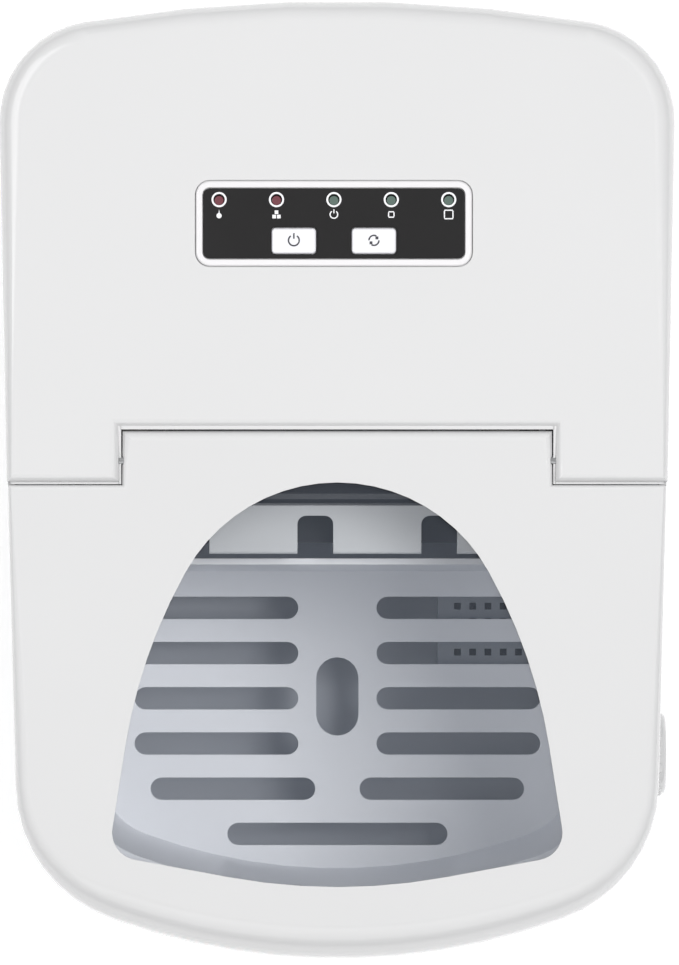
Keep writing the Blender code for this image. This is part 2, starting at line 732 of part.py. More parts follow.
def add_panel_holes(bm, fit):
    """Holes for the lenses and the buttons, in the panel's frame."""
    for i in range(len(LENS_NAMES)):
        x = lens_x(i)
        add_rod(bm, (x, LENS_ROW_Y, -LENS_DEPTH), (x, LENS_ROW_Y, LENS_DEPTH), LENS_RADIUS + fit, sides=16)
    width, depth, corner = BUTTON_SIZE
    for x in BUTTON_SPOTS.values():
        add_prism(bm, box_corners(width + 2 * fit, depth + 2 * fit, corner + fit, x, BUTTON_ROW_Y),
                  -LENS_DEPTH, LENS_DEPTH)


def build_panel(panel):
    width, depth, corner = BEZEL_SIZE
    outline = rim(box_corners(width, depth, corner))
    floor = -POCKET_DEPTH + GAP
    bm = bmesh.new()
    add_loft(bm, [level(outline, 0.0, floor), level(outline, 0.0, 0.0),
                  level(outline, 0.0006, BEZEL_PROUD), level(outline, BEZEL_RIM, BEZEL_PROUD / 2),
                  level(outline, BEZEL_RIM, floor)], closed=True)
    add_mesh("control_bezel", bm, "bezel_silver", panel)
    bm = bmesh.new()
    trim = BEZEL_RIM + PANEL_FIT
    add_prism(bm, box_corners(width - 2 * trim, depth - 2 * trim, corner - trim), floor, -OVERLAY_SINK)
    face = add_mesh("control_face", bm, "panel_black", panel)
    bm = bmesh.new()
    add_panel_holes(bm, PANEL_FIT)
    combine(face, add_mesh("face_holes", bm, None, panel))
    for i, (name, colour) in enumerate(zip(LENS_NAMES, LENS_COLOURS)):
        bm = bmesh.new()
        x = lens_x(i)
        add_rod(bm, (x, LENS_ROW_Y, -LENS_DEPTH), (x, LENS_ROW_Y, 0.0), LENS_RADIUS, sides=16)
        add_mesh(name, bm, colour, panel)
    build_buttons(panel)
    bm = bmesh.new()
    width, depth, thickness = BOARD_SIZE
    add_box(bm, (-width / 2, -depth / 2, -BOARD_DROP - thickness), (width / 2, depth / 2, -BOARD_DROP))
    board = add_mesh("control_board", bm, "board_green", panel)
    bm = bmesh.new()
    width, depth, height = SWITCH_SIZE
    for x in BUTTON_SPOTS.values():
        add_box(bm, (x - width / 2, BUTTON_ROW_Y - depth / 2, -BOARD_DROP - GAP),
                (x + width / 2, BUTTON_ROW_Y + depth / 2, -BOARD_DROP + height))
    combine(board, add_mesh("tact_switches", bm, None, panel), "UNION")


def build_buttons(panel):
    width, depth, corner = BUTTON_SIZE
    under = -SHELL_WALL - GAP
    stem_end = -BOARD_DROP + SWITCH_SIZE[2] + BUTTON_TRAVEL + GAP
    for name, x in BUTTON_SPOTS.items():
        cap = rim(box_corners(width, depth, corner, x, BUTTON_ROW_Y))
        flange = rim(box_corners(width + 2 * BUTTON_FLANGE, depth + 2 * BUTTON_FLANGE, corner,
                                 x, BUTTON_ROW_Y))
        stem = rim(box_corners(BUTTON_STEM, BUTTON_STEM, GAP, x, BUTTON_ROW_Y))
        foot = under - BUTTON_FLANGE_DEPTH
        bm = bmesh.new()
        add_loft(bm, [level(stem, 0, stem_end), level(stem, 0, foot), level(flange, 0, foot),
                      level(flange, 0, under), level(cap, 0, under), level(cap, 0, BUTTON_PROUD - 0.0005),
                      level(cap, 0.0005, BUTTON_PROUD)])
        add_mesh(name, bm, "button_white", panel)


# ==== Shell and base ======================================================================================

def build_base():
    outline = rim(body_corners())
    out = SHELL_WALL + GAP
    bm = bmesh.new()
    add_loft(bm, [level(outline, out, FOOT_HEIGHT), level(outline, out, FOOT_HEIGHT + PAN_HEIGHT),
                  level(outline, out + PAN_WALL, FOOT_HEIGHT + PAN_HEIGHT),
                  level(outline, out + PAN_WALL, FLOOR_Z)])
    add_mesh("base_pan", bm, "grey_plastic")
    for name, (x, y) in FOOT_SPOTS.items():
        height = FOOT_HEIGHT - GAP
        turned(name, [(0, height), (FOOT_RADIUS, height), (FOOT_RADIUS * 0.85, 0.0015),
                      (FOOT_RADIUS * 0.72, 0), (0, 0)], "rubber", (x, y, 0), sides=24)


def build_shell():
    outline = rim(body_corners())

    def top(y):
        return SEAM_Z + seam_fall(y)

    bm = bmesh.new()
    add_loft(bm, [level(outline, 0.0, BODY_BOTTOM), level(outline, 0.0, top), level(outline, SHELL_WALL, top),
                  level(outline, SHELL_WALL, BODY_BOTTOM)], closed=True)
    shell = add_mesh("body_shell", bm, "white_plastic")
    bm = bmesh.new()
    middle = sum(VENT_Y) / 2
    for i in range(VENT_COUNT):
        add_prism(bm, slot_corners(VENT_Y[1] - VENT_Y[0], VENT_SLOT, middle, VENT_Z + i * VENT_PITCH),
                  -0.2, 0.2, along_x())
    combine(shell, add_mesh("side_vents", bm))
    bm = bmesh.new()
    for i in range(EXHAUST_COUNT):
        z = (i - (EXHAUST_COUNT - 1) / 2) * VENT_PITCH
        half = math.sqrt(EXHAUST_HALF ** 2 - z ** 2)
        add_prism(bm, slot_corners(2 * half, VENT_SLOT, FAN_X, FAN_Z + z), -0.2, -REAR_APEX_Y * 0.8,
                  along_y())
    combine(shell, add_mesh("exhaust_slots", bm))
    bm = bmesh.new()
    width, depth, corner = INLET_SIZE
    add_prism(bm, box_corners(width + 2 * PANEL_FIT, depth + 2 * PANEL_FIT, corner, INLET_X, INLET_Z),
              -0.2, -REAR_APEX_Y * 0.8, along_y())
    add_rod(bm, (FRONT_HALF_WIDTH * 0.9, DRAIN_Y, DRAIN_Z), (0.2, DRAIN_Y, DRAIN_Z), DRAIN_RADIUS + GAP)
    combine(shell, add_mesh("inlet_and_drain_holes", bm))


def build_inlet():
    """The appliance inlet: a socket body, its flange outside the shell, and three flat pins' well."""
    width, depth, corner = INLET_SIZE
    back = REAR_APEX_Y + INLET_FLANGE
    bm = bmesh.new()
    face = rim(box_corners(width + 4 * corner, depth + 2 * corner, corner, INLET_X, INLET_Z))
    body = rim(box_corners(width, depth, corner, INLET_X, INLET_Z))
    well = rim(box_corners(width * 0.8, depth * 0.72, corner, INLET_X, INLET_Z))
    deep = back - INLET_DEPTH
    lip = -REAR_APEX_Y - GAP
    add_loft(bm, [level(body, 0, -deep), level(body, 0, lip), level(face, 0, lip), level(face, 0, -back),
                  level(well, 0, -back), level(well, 0, -deep - INLET_FLANGE)])
    bmesh.ops.transform(bm, matrix=along_y(), verts=bm.verts)
    add_mesh("power_inlet", bm, "black_plastic")


# ==== Tub, insulation, basket =============================================================================

def build_tub():
    def deck(y):
        return SEAM_Z - DECK_DROP + seam_fall(y)

    def deck_under(y):
        return deck(y) - TUB_WALL

    def vessel(distance, rear_y, corner=TUB_CORNER):
        return rim(vessel_corners(distance, rear_y, corner))

    edge = vessel(SHELL_WALL + GAP, TUB_REAR_Y + TUB_RIM_DEPTH)
    mouth = vessel(TUB_INSET, TUB_REAR_Y + TUB_LEDGE / 2)
    wall = vessel(TUB_INSET + TUB_LEDGE, TUB_REAR_Y)
    back = vessel(TUB_INSET - TUB_WALL, TUB_REAR_Y + TUB_WALL)
    bm = bmesh.new()
    add_loft(bm, [level(wall, 0, TUB_FLOOR_Z), level(wall, 0, LEDGE_Z), level(mouth, 0, LEDGE_Z),
                  level(mouth, 0, deck), level(edge, 0, deck), level(edge, 0, deck_under),
                  level(back, 0, deck_under), level(back, 0, TUB_FLOOR_Z - TUB_WALL)])
    tub = add_mesh("reservoir_tub", bm, "grey_plastic")
    bm = bmesh.new()
    add_rod(bm, (FRONT_HALF_WIDTH * 0.6, DRAIN_Y, DRAIN_Z), (0.2, DRAIN_Y, DRAIN_Z), DRAIN_RADIUS + GAP)
    hole = add_mesh("drain_passage", bm)
    combine(tub, hole)
    inner = vessel(TUB_INSET - TUB_WALL - GAP, TUB_REAR_Y + TUB_WALL + GAP)
    outer = vessel(TUB_INSET - TUB_WALL - GAP - FOAM, TUB_REAR_Y + TUB_WALL + GAP + FOAM)

    def foam_top(y):
        return deck_under(y) - GAP

    bm = bmesh.new()
    add_loft(bm, [level(outer, 0, FLOOR_Z + GAP), level(outer, 0, foam_top), level(inner, 0, foam_top),
                  level(inner, 0, TUB_FLOOR_Z - TUB_WALL - GAP)])
    combine(add_mesh("foam_jacket", bm, "foam"), hole)


def build_basket():
    def walls(distance, rear_step):
        return rim(vessel_corners(TUB_INSET + TUB_LEDGE + BASKET_PLAY + distance, BASKET_REAR_Y - rear_step,
                                  BASKET_CORNER))

    lip = walls(BASKET_PLAY * 0.5 - TUB_LEDGE, -GAP)
    top = walls(0.0, 0.0)
    low = walls(BASKET_DRAFT, BASKET_DRAFT)
    top_in = walls(BASKET_WALL, BASKET_WALL)
    low_in = walls(BASKET_DRAFT + BASKET_WALL, BASKET_DRAFT + BASKET_WALL)
    under = BASKET_RIM_Z - BASKET_LIP
    bm = bmesh.new()
    add_loft(bm, [level(low, 0, BASKET_FLOOR_Z - BASKET_WALL), level(top, 0, under), level(lip, 0, under),
                  level(lip, 0, BASKET_RIM_Z), level(top_in, 0, BASKET_RIM_Z),
                  level(low_in, 0, BASKET_FLOOR_Z)])
    basket = add_mesh("ice_basket", bm, "basket_plastic")
    bm = bmesh.new()
    for outline in basket_slots():
        add_prism(bm, outline, BASKET_FLOOR_Z - 3 * BASKET_WALL, BASKET_FLOOR_Z + BASKET_WALL)
    combine(basket, add_mesh("basket_slots", bm))


def basket_slots():
    """The drain slots in the basket's floor, and the thumb hole in its middle."""
    outlines = [slot_corners(*THUMB_SLOT, 0.0, THUMB_SLOT_Y)]
    for row in range(SLOT_ROWS + 1):
        inner, outer = (SLOT_INNER_X, SLOT_OUTER_X) if row < SLOT_ROWS else (SHORT_INNER_X, SHORT_OUTER_X)
        y = SLOT_FIRST_Y - row * SLOT_PITCH
        for side in (-1, 1):
            outlines.append(slot_corners(outer - inner, SLOT_WIDTH, side * (inner + outer) / 2, y))
    last = SLOT_FIRST_Y - (SLOT_ROWS + 1) * SLOT_PITCH
    return outlines + [slot_corners(2 * MIDDLE_SLOT_HALF, SLOT_WIDTH, 0.0, last)]


# ==== Harvest mechanism ===================================================================================

def build_frame():
    """Side plates, back and curved chute: a block with what lies over and under the chute cut away."""
    half = FRAME_HALF + FRAME_WALL
    low = AXIS_Z - CHUTE_RADIUS - CHUTE
    bm = bmesh.new()
    add_box(bm, (MID_X - half, FRAME_FRONT_Y, low), (MID_X + half, FRAME_REAR_Y, FRAME_TOP_Z))
    frame = add_mesh("harvest_frame", bm, "grey_plastic")
    back = FRAME_REAR_Y - FRAME_WALL
    stop = math.pi - math.acos((back - AXIS_Y) / CHUTE_RADIUS)
    front = about_axis(CHUTE_RADIUS, CHUTE_LIP)
    top = FRAME_TOP_Z + 2 * FRAME_WALL
    ahead = FRAME_FRONT_Y - 2 * FRAME_WALL
    profile = arc(CHUTE_RADIUS, CHUTE_LIP, stop, 14) + [(back, top), (ahead, top), (ahead, front[1])]
    bm = bmesh.new()
    add_bar(bm, profile, MID_X - FRAME_HALF, MID_X + FRAME_HALF, along_x())
    combine(frame, add_mesh("chamber_space", bm))
    outer = CHUTE_RADIUS + CHUTE
    dip = math.acos((AXIS_Y - FRAME_FRONT_Y + GAP) / outer)
    curve = arc(outer, dip, math.pi / 2 - GAP, 8)
    below = low - FRAME_WALL
    bm = bmesh.new()
    add_bar(bm, curve + [(curve[-1][0], below), (ahead, below), (ahead, curve[0][1])],
            MID_X - half - FRAME_WALL, MID_X + half + FRAME_WALL, along_x())
    combine(frame, add_mesh("under_chute", bm))
    bm = bmesh.new()
    add_rod(bm, (MID_X - 2 * half, AXIS_Y, AXIS_Z), (MID_X + 2 * half, AXIS_Y, AXIS_Z),
            STUB_RADIUS + BORE_CLEARANCE)
    combine(frame, add_mesh("axis_bores", bm))


def build_tray():
    pivot = (MID_X, AXIS_Y, AXIS_Z)
    level_dip = math.pi / 2
    bottom = arc(TRAY_RADIUS, level_dip - TRAY_REACH, level_dip + TRAY_REACH, 14)
    hub = arc(HUB_RADIUS, level_dip + math.radians(110), level_dip + math.radians(250), 6)
    bm = bmesh.new()
    add_bar(bm, bottom + hub, MID_X - TRAY_HALF, MID_X + TRAY_HALF, along_x())
    tray = add_mesh("water_tray", bm, "white_plastic", None, pivot)
    inside = arc(TRAY_RADIUS - TRAY_WALL, 0.0, math.pi, 18)
    high = AXIS_Z + TRAY_RADIUS
    inside += [(inside[-1][0], high), (inside[0][0], high)]
    bm = bmesh.new()
    reach = TRAY_HALF - TRAY_WALL
    add_bar(bm, inside, MID_X - reach, MID_X + reach, along_x())
    combine(tray, add_mesh("tray_hollow", bm))
    bm = bmesh.new()
    stub_end = MID_X - FRAME_HALF - FRAME_WALL - GAP
    add_rod(bm, (stub_end, AXIS_Y, AXIS_Z), (MID_X - TRAY_HALF + GAP, AXIS_Y, AXIS_Z), STUB_RADIUS)
    combine(tray, add_mesh("tray_stub", bm), "UNION")
    bm = bmesh.new()
    add_rod(bm, (MID_X + reach - TRAY_WALL, AXIS_Y, AXIS_Z), (MID_X + 2 * TRAY_HALF, AXIS_Y, AXIS_Z),
            SHAFT_RADIUS + GAP)
    combine(tray, add_mesh("shaft_socket", bm))
    bm = bmesh.new()
    add_rod(bm, (MID_X + reach + GAP, AXIS_Y, AXIS_Z), (MOTOR_FACE_X + MOTOR_DEPTH * 0.6, AXIS_Y, AXIS_Z),
            SHAFT_RADIUS)
    add_mesh("tray_shaft", bm, "steel", None, pivot)
    bm = bmesh.new()
    add_rod(bm, (MOTOR_FACE_X, AXIS_Y, AXIS_Z), (MOTOR_FACE_X + MOTOR_DEPTH, AXIS_Y, AXIS_Z), MOTOR_RADIUS)
    motor = add_mesh("tray_motor", bm, "black_plastic")
    bm = bmesh.new()
    add_rod(bm, (MOTOR_FACE_X - MOTOR_DEPTH, AXIS_Y, AXIS_Z),
            (MOTOR_FACE_X + MOTOR_DEPTH * 0.65, AXIS_Y, AXIS_Z), SHAFT_RADIUS + GAP)
    combine(motor, add_mesh("motor_bore", bm))


def build_pusher():
    pivot = (MID_X, AXIS_Y, AXIS_Z)
    inner = TRAY_HALF + SIDE_PLAY
    outer = inner + ARM
    turn = Matrix.Translation((0, AXIS_Y, AXIS_Z)) @ Matrix.Rotation(PADDLE_DIP, 4, "X")
    blade = [(-PADDLE_ROOT, -PADDLE / 2), (-PADDLE_ROOT, PADDLE / 2), (-PADDLE_TIP + PADDLE_BULB, PADDLE / 2)]
    tip = [(-PADDLE_TIP - PADDLE_BULB * math.sin(a), PADDLE_BULB * math.cos(a))
           for a in (math.pi * k / 6 for k in range(7))]
    bm = bmesh.new()
    add_bar(bm, blade + tip + [(-PADDLE_TIP + PADDLE_BULB, -PADDLE / 2)], MID_X - outer, MID_X + outer,
            turn @ along_x())
    pusher = add_mesh("ice_pusher", bm, "grey_plastic", None, pivot)
    bm = bmesh.new()
    for side in (-1, 1):
        add_box(bm, (MID_X + side * (inner + outer) / 2 - ARM / 2, -PADDLE_SPACE_ROOT, -STUB_RADIUS),
                (MID_X + side * (inner + outer) / 2 + ARM / 2, 0, STUB_RADIUS))
        add_rod(bm, (MID_X + side * inner, 0, 0), (MID_X + side * outer, 0, 0), HUB_RADIUS)
        bmesh.ops.transform(bm, matrix=turn, verts=bm.verts)
        name = "pusher_arm_left" if side < 0 else "pusher_arm_right"
        arm_box = split_union(bm, name)
        for piece in arm_box:
            combine(pusher, piece, "UNION")
        bm = bmesh.new()
    bm.free()
    bm = bmesh.new()
    depth = PADDLE_TIP + 4 * PADDLE_BULB
    for k in (-1, 0, 1):
        space = box_corners(PADDLE_SPACE, 2 * (depth - PADDLE_SPACE_ROOT), PADDLE_SPACE_CORNER,
                            MID_X + k * PADDLE_PITCH, -depth)
        add_prism(bm, space, -4 * PADDLE, 4 * PADDLE, turn)
    add_rod(bm, (MID_X - 2 * outer, AXIS_Y, AXIS_Z), (MID_X + 2 * outer, AXIS_Y, AXIS_Z),
            STUB_RADIUS + BORE_CLEARANCE)
    combine(pusher, add_mesh("pusher_cuts", bm))


def split_union(bm, name):
    """Each separate solid in the bmesh as a cutter of its own, so that overlapping ones can be joined."""
    pieces = []
    left = set(bm.verts)
    while left:
        island = {left.pop()}
        edge_of = set(island)
        while edge_of:
            edge_of = {e.other_vert(v) for v in edge_of for e in v.link_edges} - island
            island |= edge_of
        left -= island
        part = bmesh.new()
        copies = {v: part.verts.new(v.co) for v in island}
        for face in bm.faces:
            if face.verts[0] in island:
                part.faces.new([copies[v] for v in face.verts])
        pieces.append(add_mesh(f"{name}_{len(pieces)}", part))
    bm.free()
    return pieces


def build_evaporator():
    length, depth, height = BLOCK_LENGTH, BLOCK_DEPTH, BLOCK_HEIGHT
    bm = bmesh.new()
    add_box(bm, (MID_X - length / 2, AXIS_Y - depth / 2, BLOCK_Z),
            (MID_X + length / 2, AXIS_Y + depth / 2, BLOCK_Z + height))
    block = add_mesh("evaporator", bm, "nickel")
    bm = bmesh.new()
    for count, y in ((5, AXIS_Y - FINGER_ROW), (4, AXIS_Y + FINGER_ROW)):
        for i in range(count):
            x = MID_X + (i - (count - 1) / 2) * FINGER_PITCH
            add_rod(bm, (x, y, FINGER_TIP_Z), (x, y, BLOCK_Z + height / 2), FINGER_TIP_RADIUS,
                    FINGER_RADIUS, 16)
    combine(block, add_mesh("fingers", bm), "UNION")
    top = BLOCK_Z + height + GAP
    back = FRAME_REAR_Y - FRAME_WALL - GAP
    bm = bmesh.new()
    add_bar(bm, [(AXIS_Y - depth / 2, top), (back - BRACKET, top), (back - BRACKET, BLOCK_Z), (back, BLOCK_Z),
                 (back, top + BRACKET), (AXIS_Y - depth / 2, top + BRACKET)],
            MID_X - BRACKET_HALF, MID_X + BRACKET_HALF, along_x())
    add_mesh("evaporator_bracket", bm, "steel")


# ==== Water ===============================================================================================

def build_water_parts():
    floor = TUB_FLOOR_Z + GAP
    neck = PUMP_RADIUS * 0.4
    turned("water_pump", [(0, PUMP_HEIGHT), (neck, PUMP_HEIGHT), (neck, PUMP_HEIGHT * 0.8),
                          (PUMP_RADIUS, PUMP_HEIGHT * 0.75), (PUMP_RADIUS, 0), (0, 0)],
           "black_plastic", (PUMP_X, PUMP_Y, floor))
    width, depth = STRAINER_SIZE
    box = rim(box_corners(width, depth, 0.004, PUMP_X, PUMP_Y))
    top = STRAINER_TOP_Z
    bm = bmesh.new()
    add_loft(bm, [level(box, STRAINER_WALL, top - STRAINER_WALL), level(box, STRAINER_WALL, floor),
                  level(box, 0, floor), level(box, 0, top)])
    strainer = add_mesh("pump_strainer", bm, "grey_plastic")
    bm = bmesh.new()
    for i in range(STRAINER_COLUMNS):
        for k in range(STRAINER_ROWS):
            x = PUMP_X + (i - (STRAINER_COLUMNS - 1) / 2) * STRAINER_PITCH
            y = PUMP_Y + (k - (STRAINER_ROWS - 1) / 2) * STRAINER_PITCH
            add_box(bm, (x - STRAINER_HOLE / 2, y - STRAINER_HOLE / 2, top - 2 * STRAINER_WALL),
                    (x + STRAINER_HOLE / 2, y + STRAINER_HOLE / 2, top + STRAINER_WALL))
    hose_y = PUMP_Y + depth / 2
    add_rod(bm, (PUMP_X, hose_y - 2 * STRAINER_WALL, hose_level()),
            (PUMP_X, hose_y + STRAINER_WALL, hose_level()),
            HOSE_RADIUS + GAP)
    combine(strainer, add_mesh("strainer_holes", bm))
    build_hose()
    for name, side in (("ice_sensor_right", 1), ("ice_sensor_left", -1)):
        x = side * (side_x(SENSOR_Y - SENSOR_SIZE[1]) - TUB_INSET - 2 * GAP - SENSOR_SIZE[0] / 2)
        bm = bmesh.new()
        add_box(bm, [c - s / 2 for c, s in zip((x, SENSOR_Y, SENSOR_Z), SENSOR_SIZE)],
                [c + s / 2 for c, s in zip((x, SENSOR_Y, SENSOR_Z), SENSOR_SIZE)])
        add_mesh(name, bm, "black_plastic")


def hose_level():
    return TUB_FLOOR_Z + PUMP_HEIGHT * 0.45


def build_hose():
    """From the pump's side, back under the basket, up behind it and in over the tray's end."""
    x_side = MID_X + FRAME_HALF + FRAME_WALL + HOSE_RADIUS + 4 * GAP
    y_up = AXIS_Y - MOTOR_RADIUS - HOSE_RADIUS - 4 * GAP
    tube("water_hose", [(PUMP_X, PUMP_Y + PUMP_RADIUS + 2 * GAP, hose_level()), (PUMP_X, y_up, hose_level()),
                        (x_side, y_up, hose_level() + 0.03), (x_side, y_up, AXIS_Z + 0.010)],
         HOSE_RADIUS, 0.012, "silicone")


def build_drain():
    """A spout through tub, insulation and shell, and the cap with its plug."""
    start = side_x(DRAIN_Y) - TUB_INSET - SPOUT_ROOT
    face = CAP_FACE_X - CAP_THICKNESS - GAP
    bm = bmesh.new()
    add_rod(bm, (start, DRAIN_Y, DRAIN_Z), (face, DRAIN_Y, DRAIN_Z), DRAIN_RADIUS)
    spout = add_mesh("drain_spout", bm, "grey_plastic")
    bm = bmesh.new()
    add_rod(bm, (start - 0.01, DRAIN_Y, DRAIN_Z), (face + 0.01, DRAIN_Y, DRAIN_Z), DRAIN_BORE)
    combine(spout, add_mesh("spout_bore", bm))
    edge = 0.0012
    turned("drain_cap", [(0, 0), (CAP_RADIUS - edge, 0), (CAP_RADIUS, -edge), (CAP_RADIUS, -CAP_THICKNESS),
                         (DRAIN_BORE - GAP, -CAP_THICKNESS), (DRAIN_BORE - GAP, -CAP_THICKNESS - PLUG_LENGTH),
                         (0, -CAP_THICKNESS - PLUG_LENGTH)],
           "white_plastic", (CAP_FACE_X, DRAIN_Y, DRAIN_Z), "X")


# ==== Refrigeration and electrics =========================================================================

def build_compressor():
    x, y = COMPRESSOR_XY
    low, high = COMPRESSOR_Z
    radius = COMPRESSOR_RADIUS
    dome = [(radius * math.sin(a), high - COMPRESSOR_DOME * (1 - math.cos(a)))
            for a in (math.pi / 2 * k / 5 for k in range(6))]
    plate = 0.002
    waist = radius * 0.96
    turned("compressor", dome + [(radius, low + 0.052), (waist, low + 0.050), (waist, low + plate),
                                 (radius, low + plate), (radius, low), (0, low)],
           "black_paint", (x, y, 0))
    for i, name in enumerate(("grommet_right", "grommet_left", "grommet_front")):
        turn = math.radians(30 + 120 * i)
        spot = (x + GROMMET_RING * math.cos(turn), y + GROMMET_RING * math.sin(turn), FLOOR_Z + GAP)
        height = low - FLOOR_Z - 2 * GAP
        turned(name, [(0, height), (GROMMET_RADIUS, height), (GROMMET_RADIUS * 0.7, height / 2),
                      (GROMMET_RADIUS, 0), (0, 0)], "rubber", spot, sides=16)


def build_condenser():
    width, height = CONDENSER_SIZE
    low = FLOOR_Z + GAP
    bm = bmesh.new()
    add_box(bm, (FAN_X - width / 2, CONDENSER_Y[0], low), (FAN_X + width / 2, CONDENSER_Y[1], low + height))
    block = add_mesh("condenser", bm, "aluminium")
    pitch = (width - FIN) / (FIN_COUNT - 1)
    bm = bmesh.new()
    for i in range(FIN_COUNT - 1):
        left = FAN_X - width / 2 + FIN + i * pitch
        add_box(bm, (left, CONDENSER_Y[0] - FIN, low + CONDENSER_HEADER),
                (left + pitch - FIN, CONDENSER_Y[1] + FIN, low + height - CONDENSER_HEADER))
    combine(block, add_mesh("fin_gaps", bm))


def build_fan():
    front, back = SHROUD_Y
    half = SHROUD_SIZE / 2
    bm = bmesh.new()
    add_box(bm, (FAN_X - half, front, FAN_Z - half), (FAN_X + half, back, FAN_Z + half))
    shroud = add_mesh("fan_shroud", bm, "black_plastic")
    bm = bmesh.new()
    add_rod(bm, (FAN_X, front - FIN, FAN_Z), (FAN_X, back + FIN, FAN_Z), FAN_RADIUS + FAN_CLEARANCE, sides=48)
    combine(shroud, add_mesh("fan_duct", bm))
    bm = bmesh.new()
    add_box(bm, (FAN_X - half + FIN, front, FAN_Z - SPIDER_WIDTH / 2),
            (FAN_X + half - FIN, front + SPIDER_DEPTH, FAN_Z + SPIDER_WIDTH / 2))
    combine(shroud, add_mesh("fan_spider", bm), "UNION")
    motor_front = front - FAN_MOTOR_DEPTH - GAP
    turned("fan_motor", [(0, FAN_MOTOR_DEPTH), (FAN_MOTOR_RADIUS, FAN_MOTOR_DEPTH), (FAN_MOTOR_RADIUS, 0.002),
                         (FAN_MOTOR_RADIUS - 0.002, 0), (0, 0)],
           "black_paint", (FAN_X, motor_front, FAN_Z), "Y")
    hub_front = front + SPIDER_DEPTH + 4 * GAP
    hub_back = back - 4 * GAP
    bm = bmesh.new()
    add_rod(bm, (FAN_X, hub_front, FAN_Z), (FAN_X, hub_back, FAN_Z), FAN_HUB_RADIUS)
    fan = add_mesh("fan_blade", bm, "grey_plastic", None, (FAN_X, (hub_front + hub_back) / 2, FAN_Z))
    bm = bmesh.new()
    middle = Vector((FAN_X, (hub_front + hub_back) / 2, FAN_Z))
    pitch = math.radians(32)
    chord = (hub_back - hub_front) / 2 / math.sin(pitch) * 0.85
    thin = 0.0014
    for i in range(FAN_BLADES):
        verts = bmesh.ops.create_cube(bm, size=1.0)["verts"]
        reach = FAN_RADIUS - FAN_HUB_RADIUS * 0.7
        matrix = (Matrix.Translation(middle) @ Matrix.Rotation(math.tau * i / FAN_BLADES, 4, "Y")
                  @ Matrix.Translation((FAN_HUB_RADIUS * 0.7 + reach / 2, 0, 0))
                  @ Matrix.Rotation(pitch, 4, "X") @ Matrix.Diagonal((reach, thin, chord, 1)))
        bmesh.ops.transform(bm, matrix=matrix, verts=verts)
    combine(fan, add_mesh("blades", bm), "UNION")


def build_circuit():
    """The drier and the tubes that join compressor, condenser, drier and evaporator."""
    x, y = DRIER_XY
    neck = CAPILLARY_RADIUS * 2
    low, high = DRIER_Z
    turned("drier_filter", [(0, high), (neck, high), (DRIER_RADIUS, high - 0.008),
                            (DRIER_RADIUS, low + 0.008), (neck, low), (0, low)],
           "copper", (x, y, 0), sides=20)
    cx, cy = COMPRESSOR_XY
    top = COMPRESSOR_Z[1]
    coil_top = FLOOR_Z + CONDENSER_SIZE[1] + 3 * GAP
    coil_y = sum(CONDENSER_Y) / 2
    over = COMPRESSOR_Z[1] + 0.018
    tube("discharge_tube", [(cx, cy + 0.006, top + 2 * GAP), (cx, cy + 0.006, over),
                            (FAN_X - 0.030, cy + 0.006, over), (FAN_X - 0.030, coil_y, over),
                            (FAN_X - 0.030, coil_y, coil_top)], TUBE_RADIUS, 0.006, "copper")
    tube("liquid_tube", [(x, y, high + 2 * GAP), (x, y, high + 0.014), (FAN_X - 0.040, y, high + 0.014),
                         (FAN_X - 0.040, coil_y, high + 0.014), (FAN_X - 0.040, coil_y, coil_top)],
         TUBE_RADIUS * 0.8, 0.005, "copper")
    behind = TUB_REAR_Y + TUB_WALL + FOAM + 0.009
    over_deck = SEAM_Z + 0.005
    block_top = BLOCK_Z + BLOCK_HEIGHT
    right = MID_X + BLOCK_LENGTH / 2 - 0.006
    left = MID_X - BLOCK_LENGTH / 2 + 0.006
    tube("suction_tube", [(left, AXIS_Y, block_top + 2 * GAP), (left, AXIS_Y, over_deck),
                          (left, behind, over_deck), (left, behind, over),
                          (cx - 0.012, behind, over), (cx - 0.012, cy - 0.012, over),
                          (cx - 0.012, cy - 0.012, top + 2 * GAP)], TUBE_RADIUS, 0.006, "copper")
    tube("capillary_tube", [(x, y, low - 2 * GAP), (x, y, low - 0.012), (x, y - 0.034, low - 0.012),
                            (x, y - 0.034, over + 0.024), (right, y - 0.034, over + 0.086),
                            (right, behind, over_deck - 0.020), (right, behind, over_deck),
                            (right, AXIS_Y, over_deck), (right, AXIS_Y, block_top + 2 * GAP)],
         CAPILLARY_RADIUS, 0.005, "copper")


def build_electrics():
    width, thickness, height = POWER_BOARD_SIZE
    x, z = POWER_BOARD_SPOT
    y = TUB_REAR_Y + TUB_WALL + FOAM + 4 * GAP
    bm = bmesh.new()
    add_box(bm, (x - width / 2, y, z - height / 2), (x + width / 2, y + thickness, z + height / 2))
    board = add_mesh("power_board", bm, "board_green")
    bm = bmesh.new()
    for dx, dz, w, h, d in ((-0.026, 0.014, 0.024, 0.026, 0.020), (0.004, 0.018, 0.014, 0.014, 0.012),
                            (0.026, 0.010, 0.018, 0.022, 0.010), (0.010, -0.020, 0.032, 0.010, 0.006)):
        add_box(bm, (x + dx - w / 2, y + thickness / 2, z + dz - h / 2),
                (x + dx + w / 2, y + thickness + d, z + dz + h / 2))
    combine(board, add_mesh("board_parts", bm), "UNION")


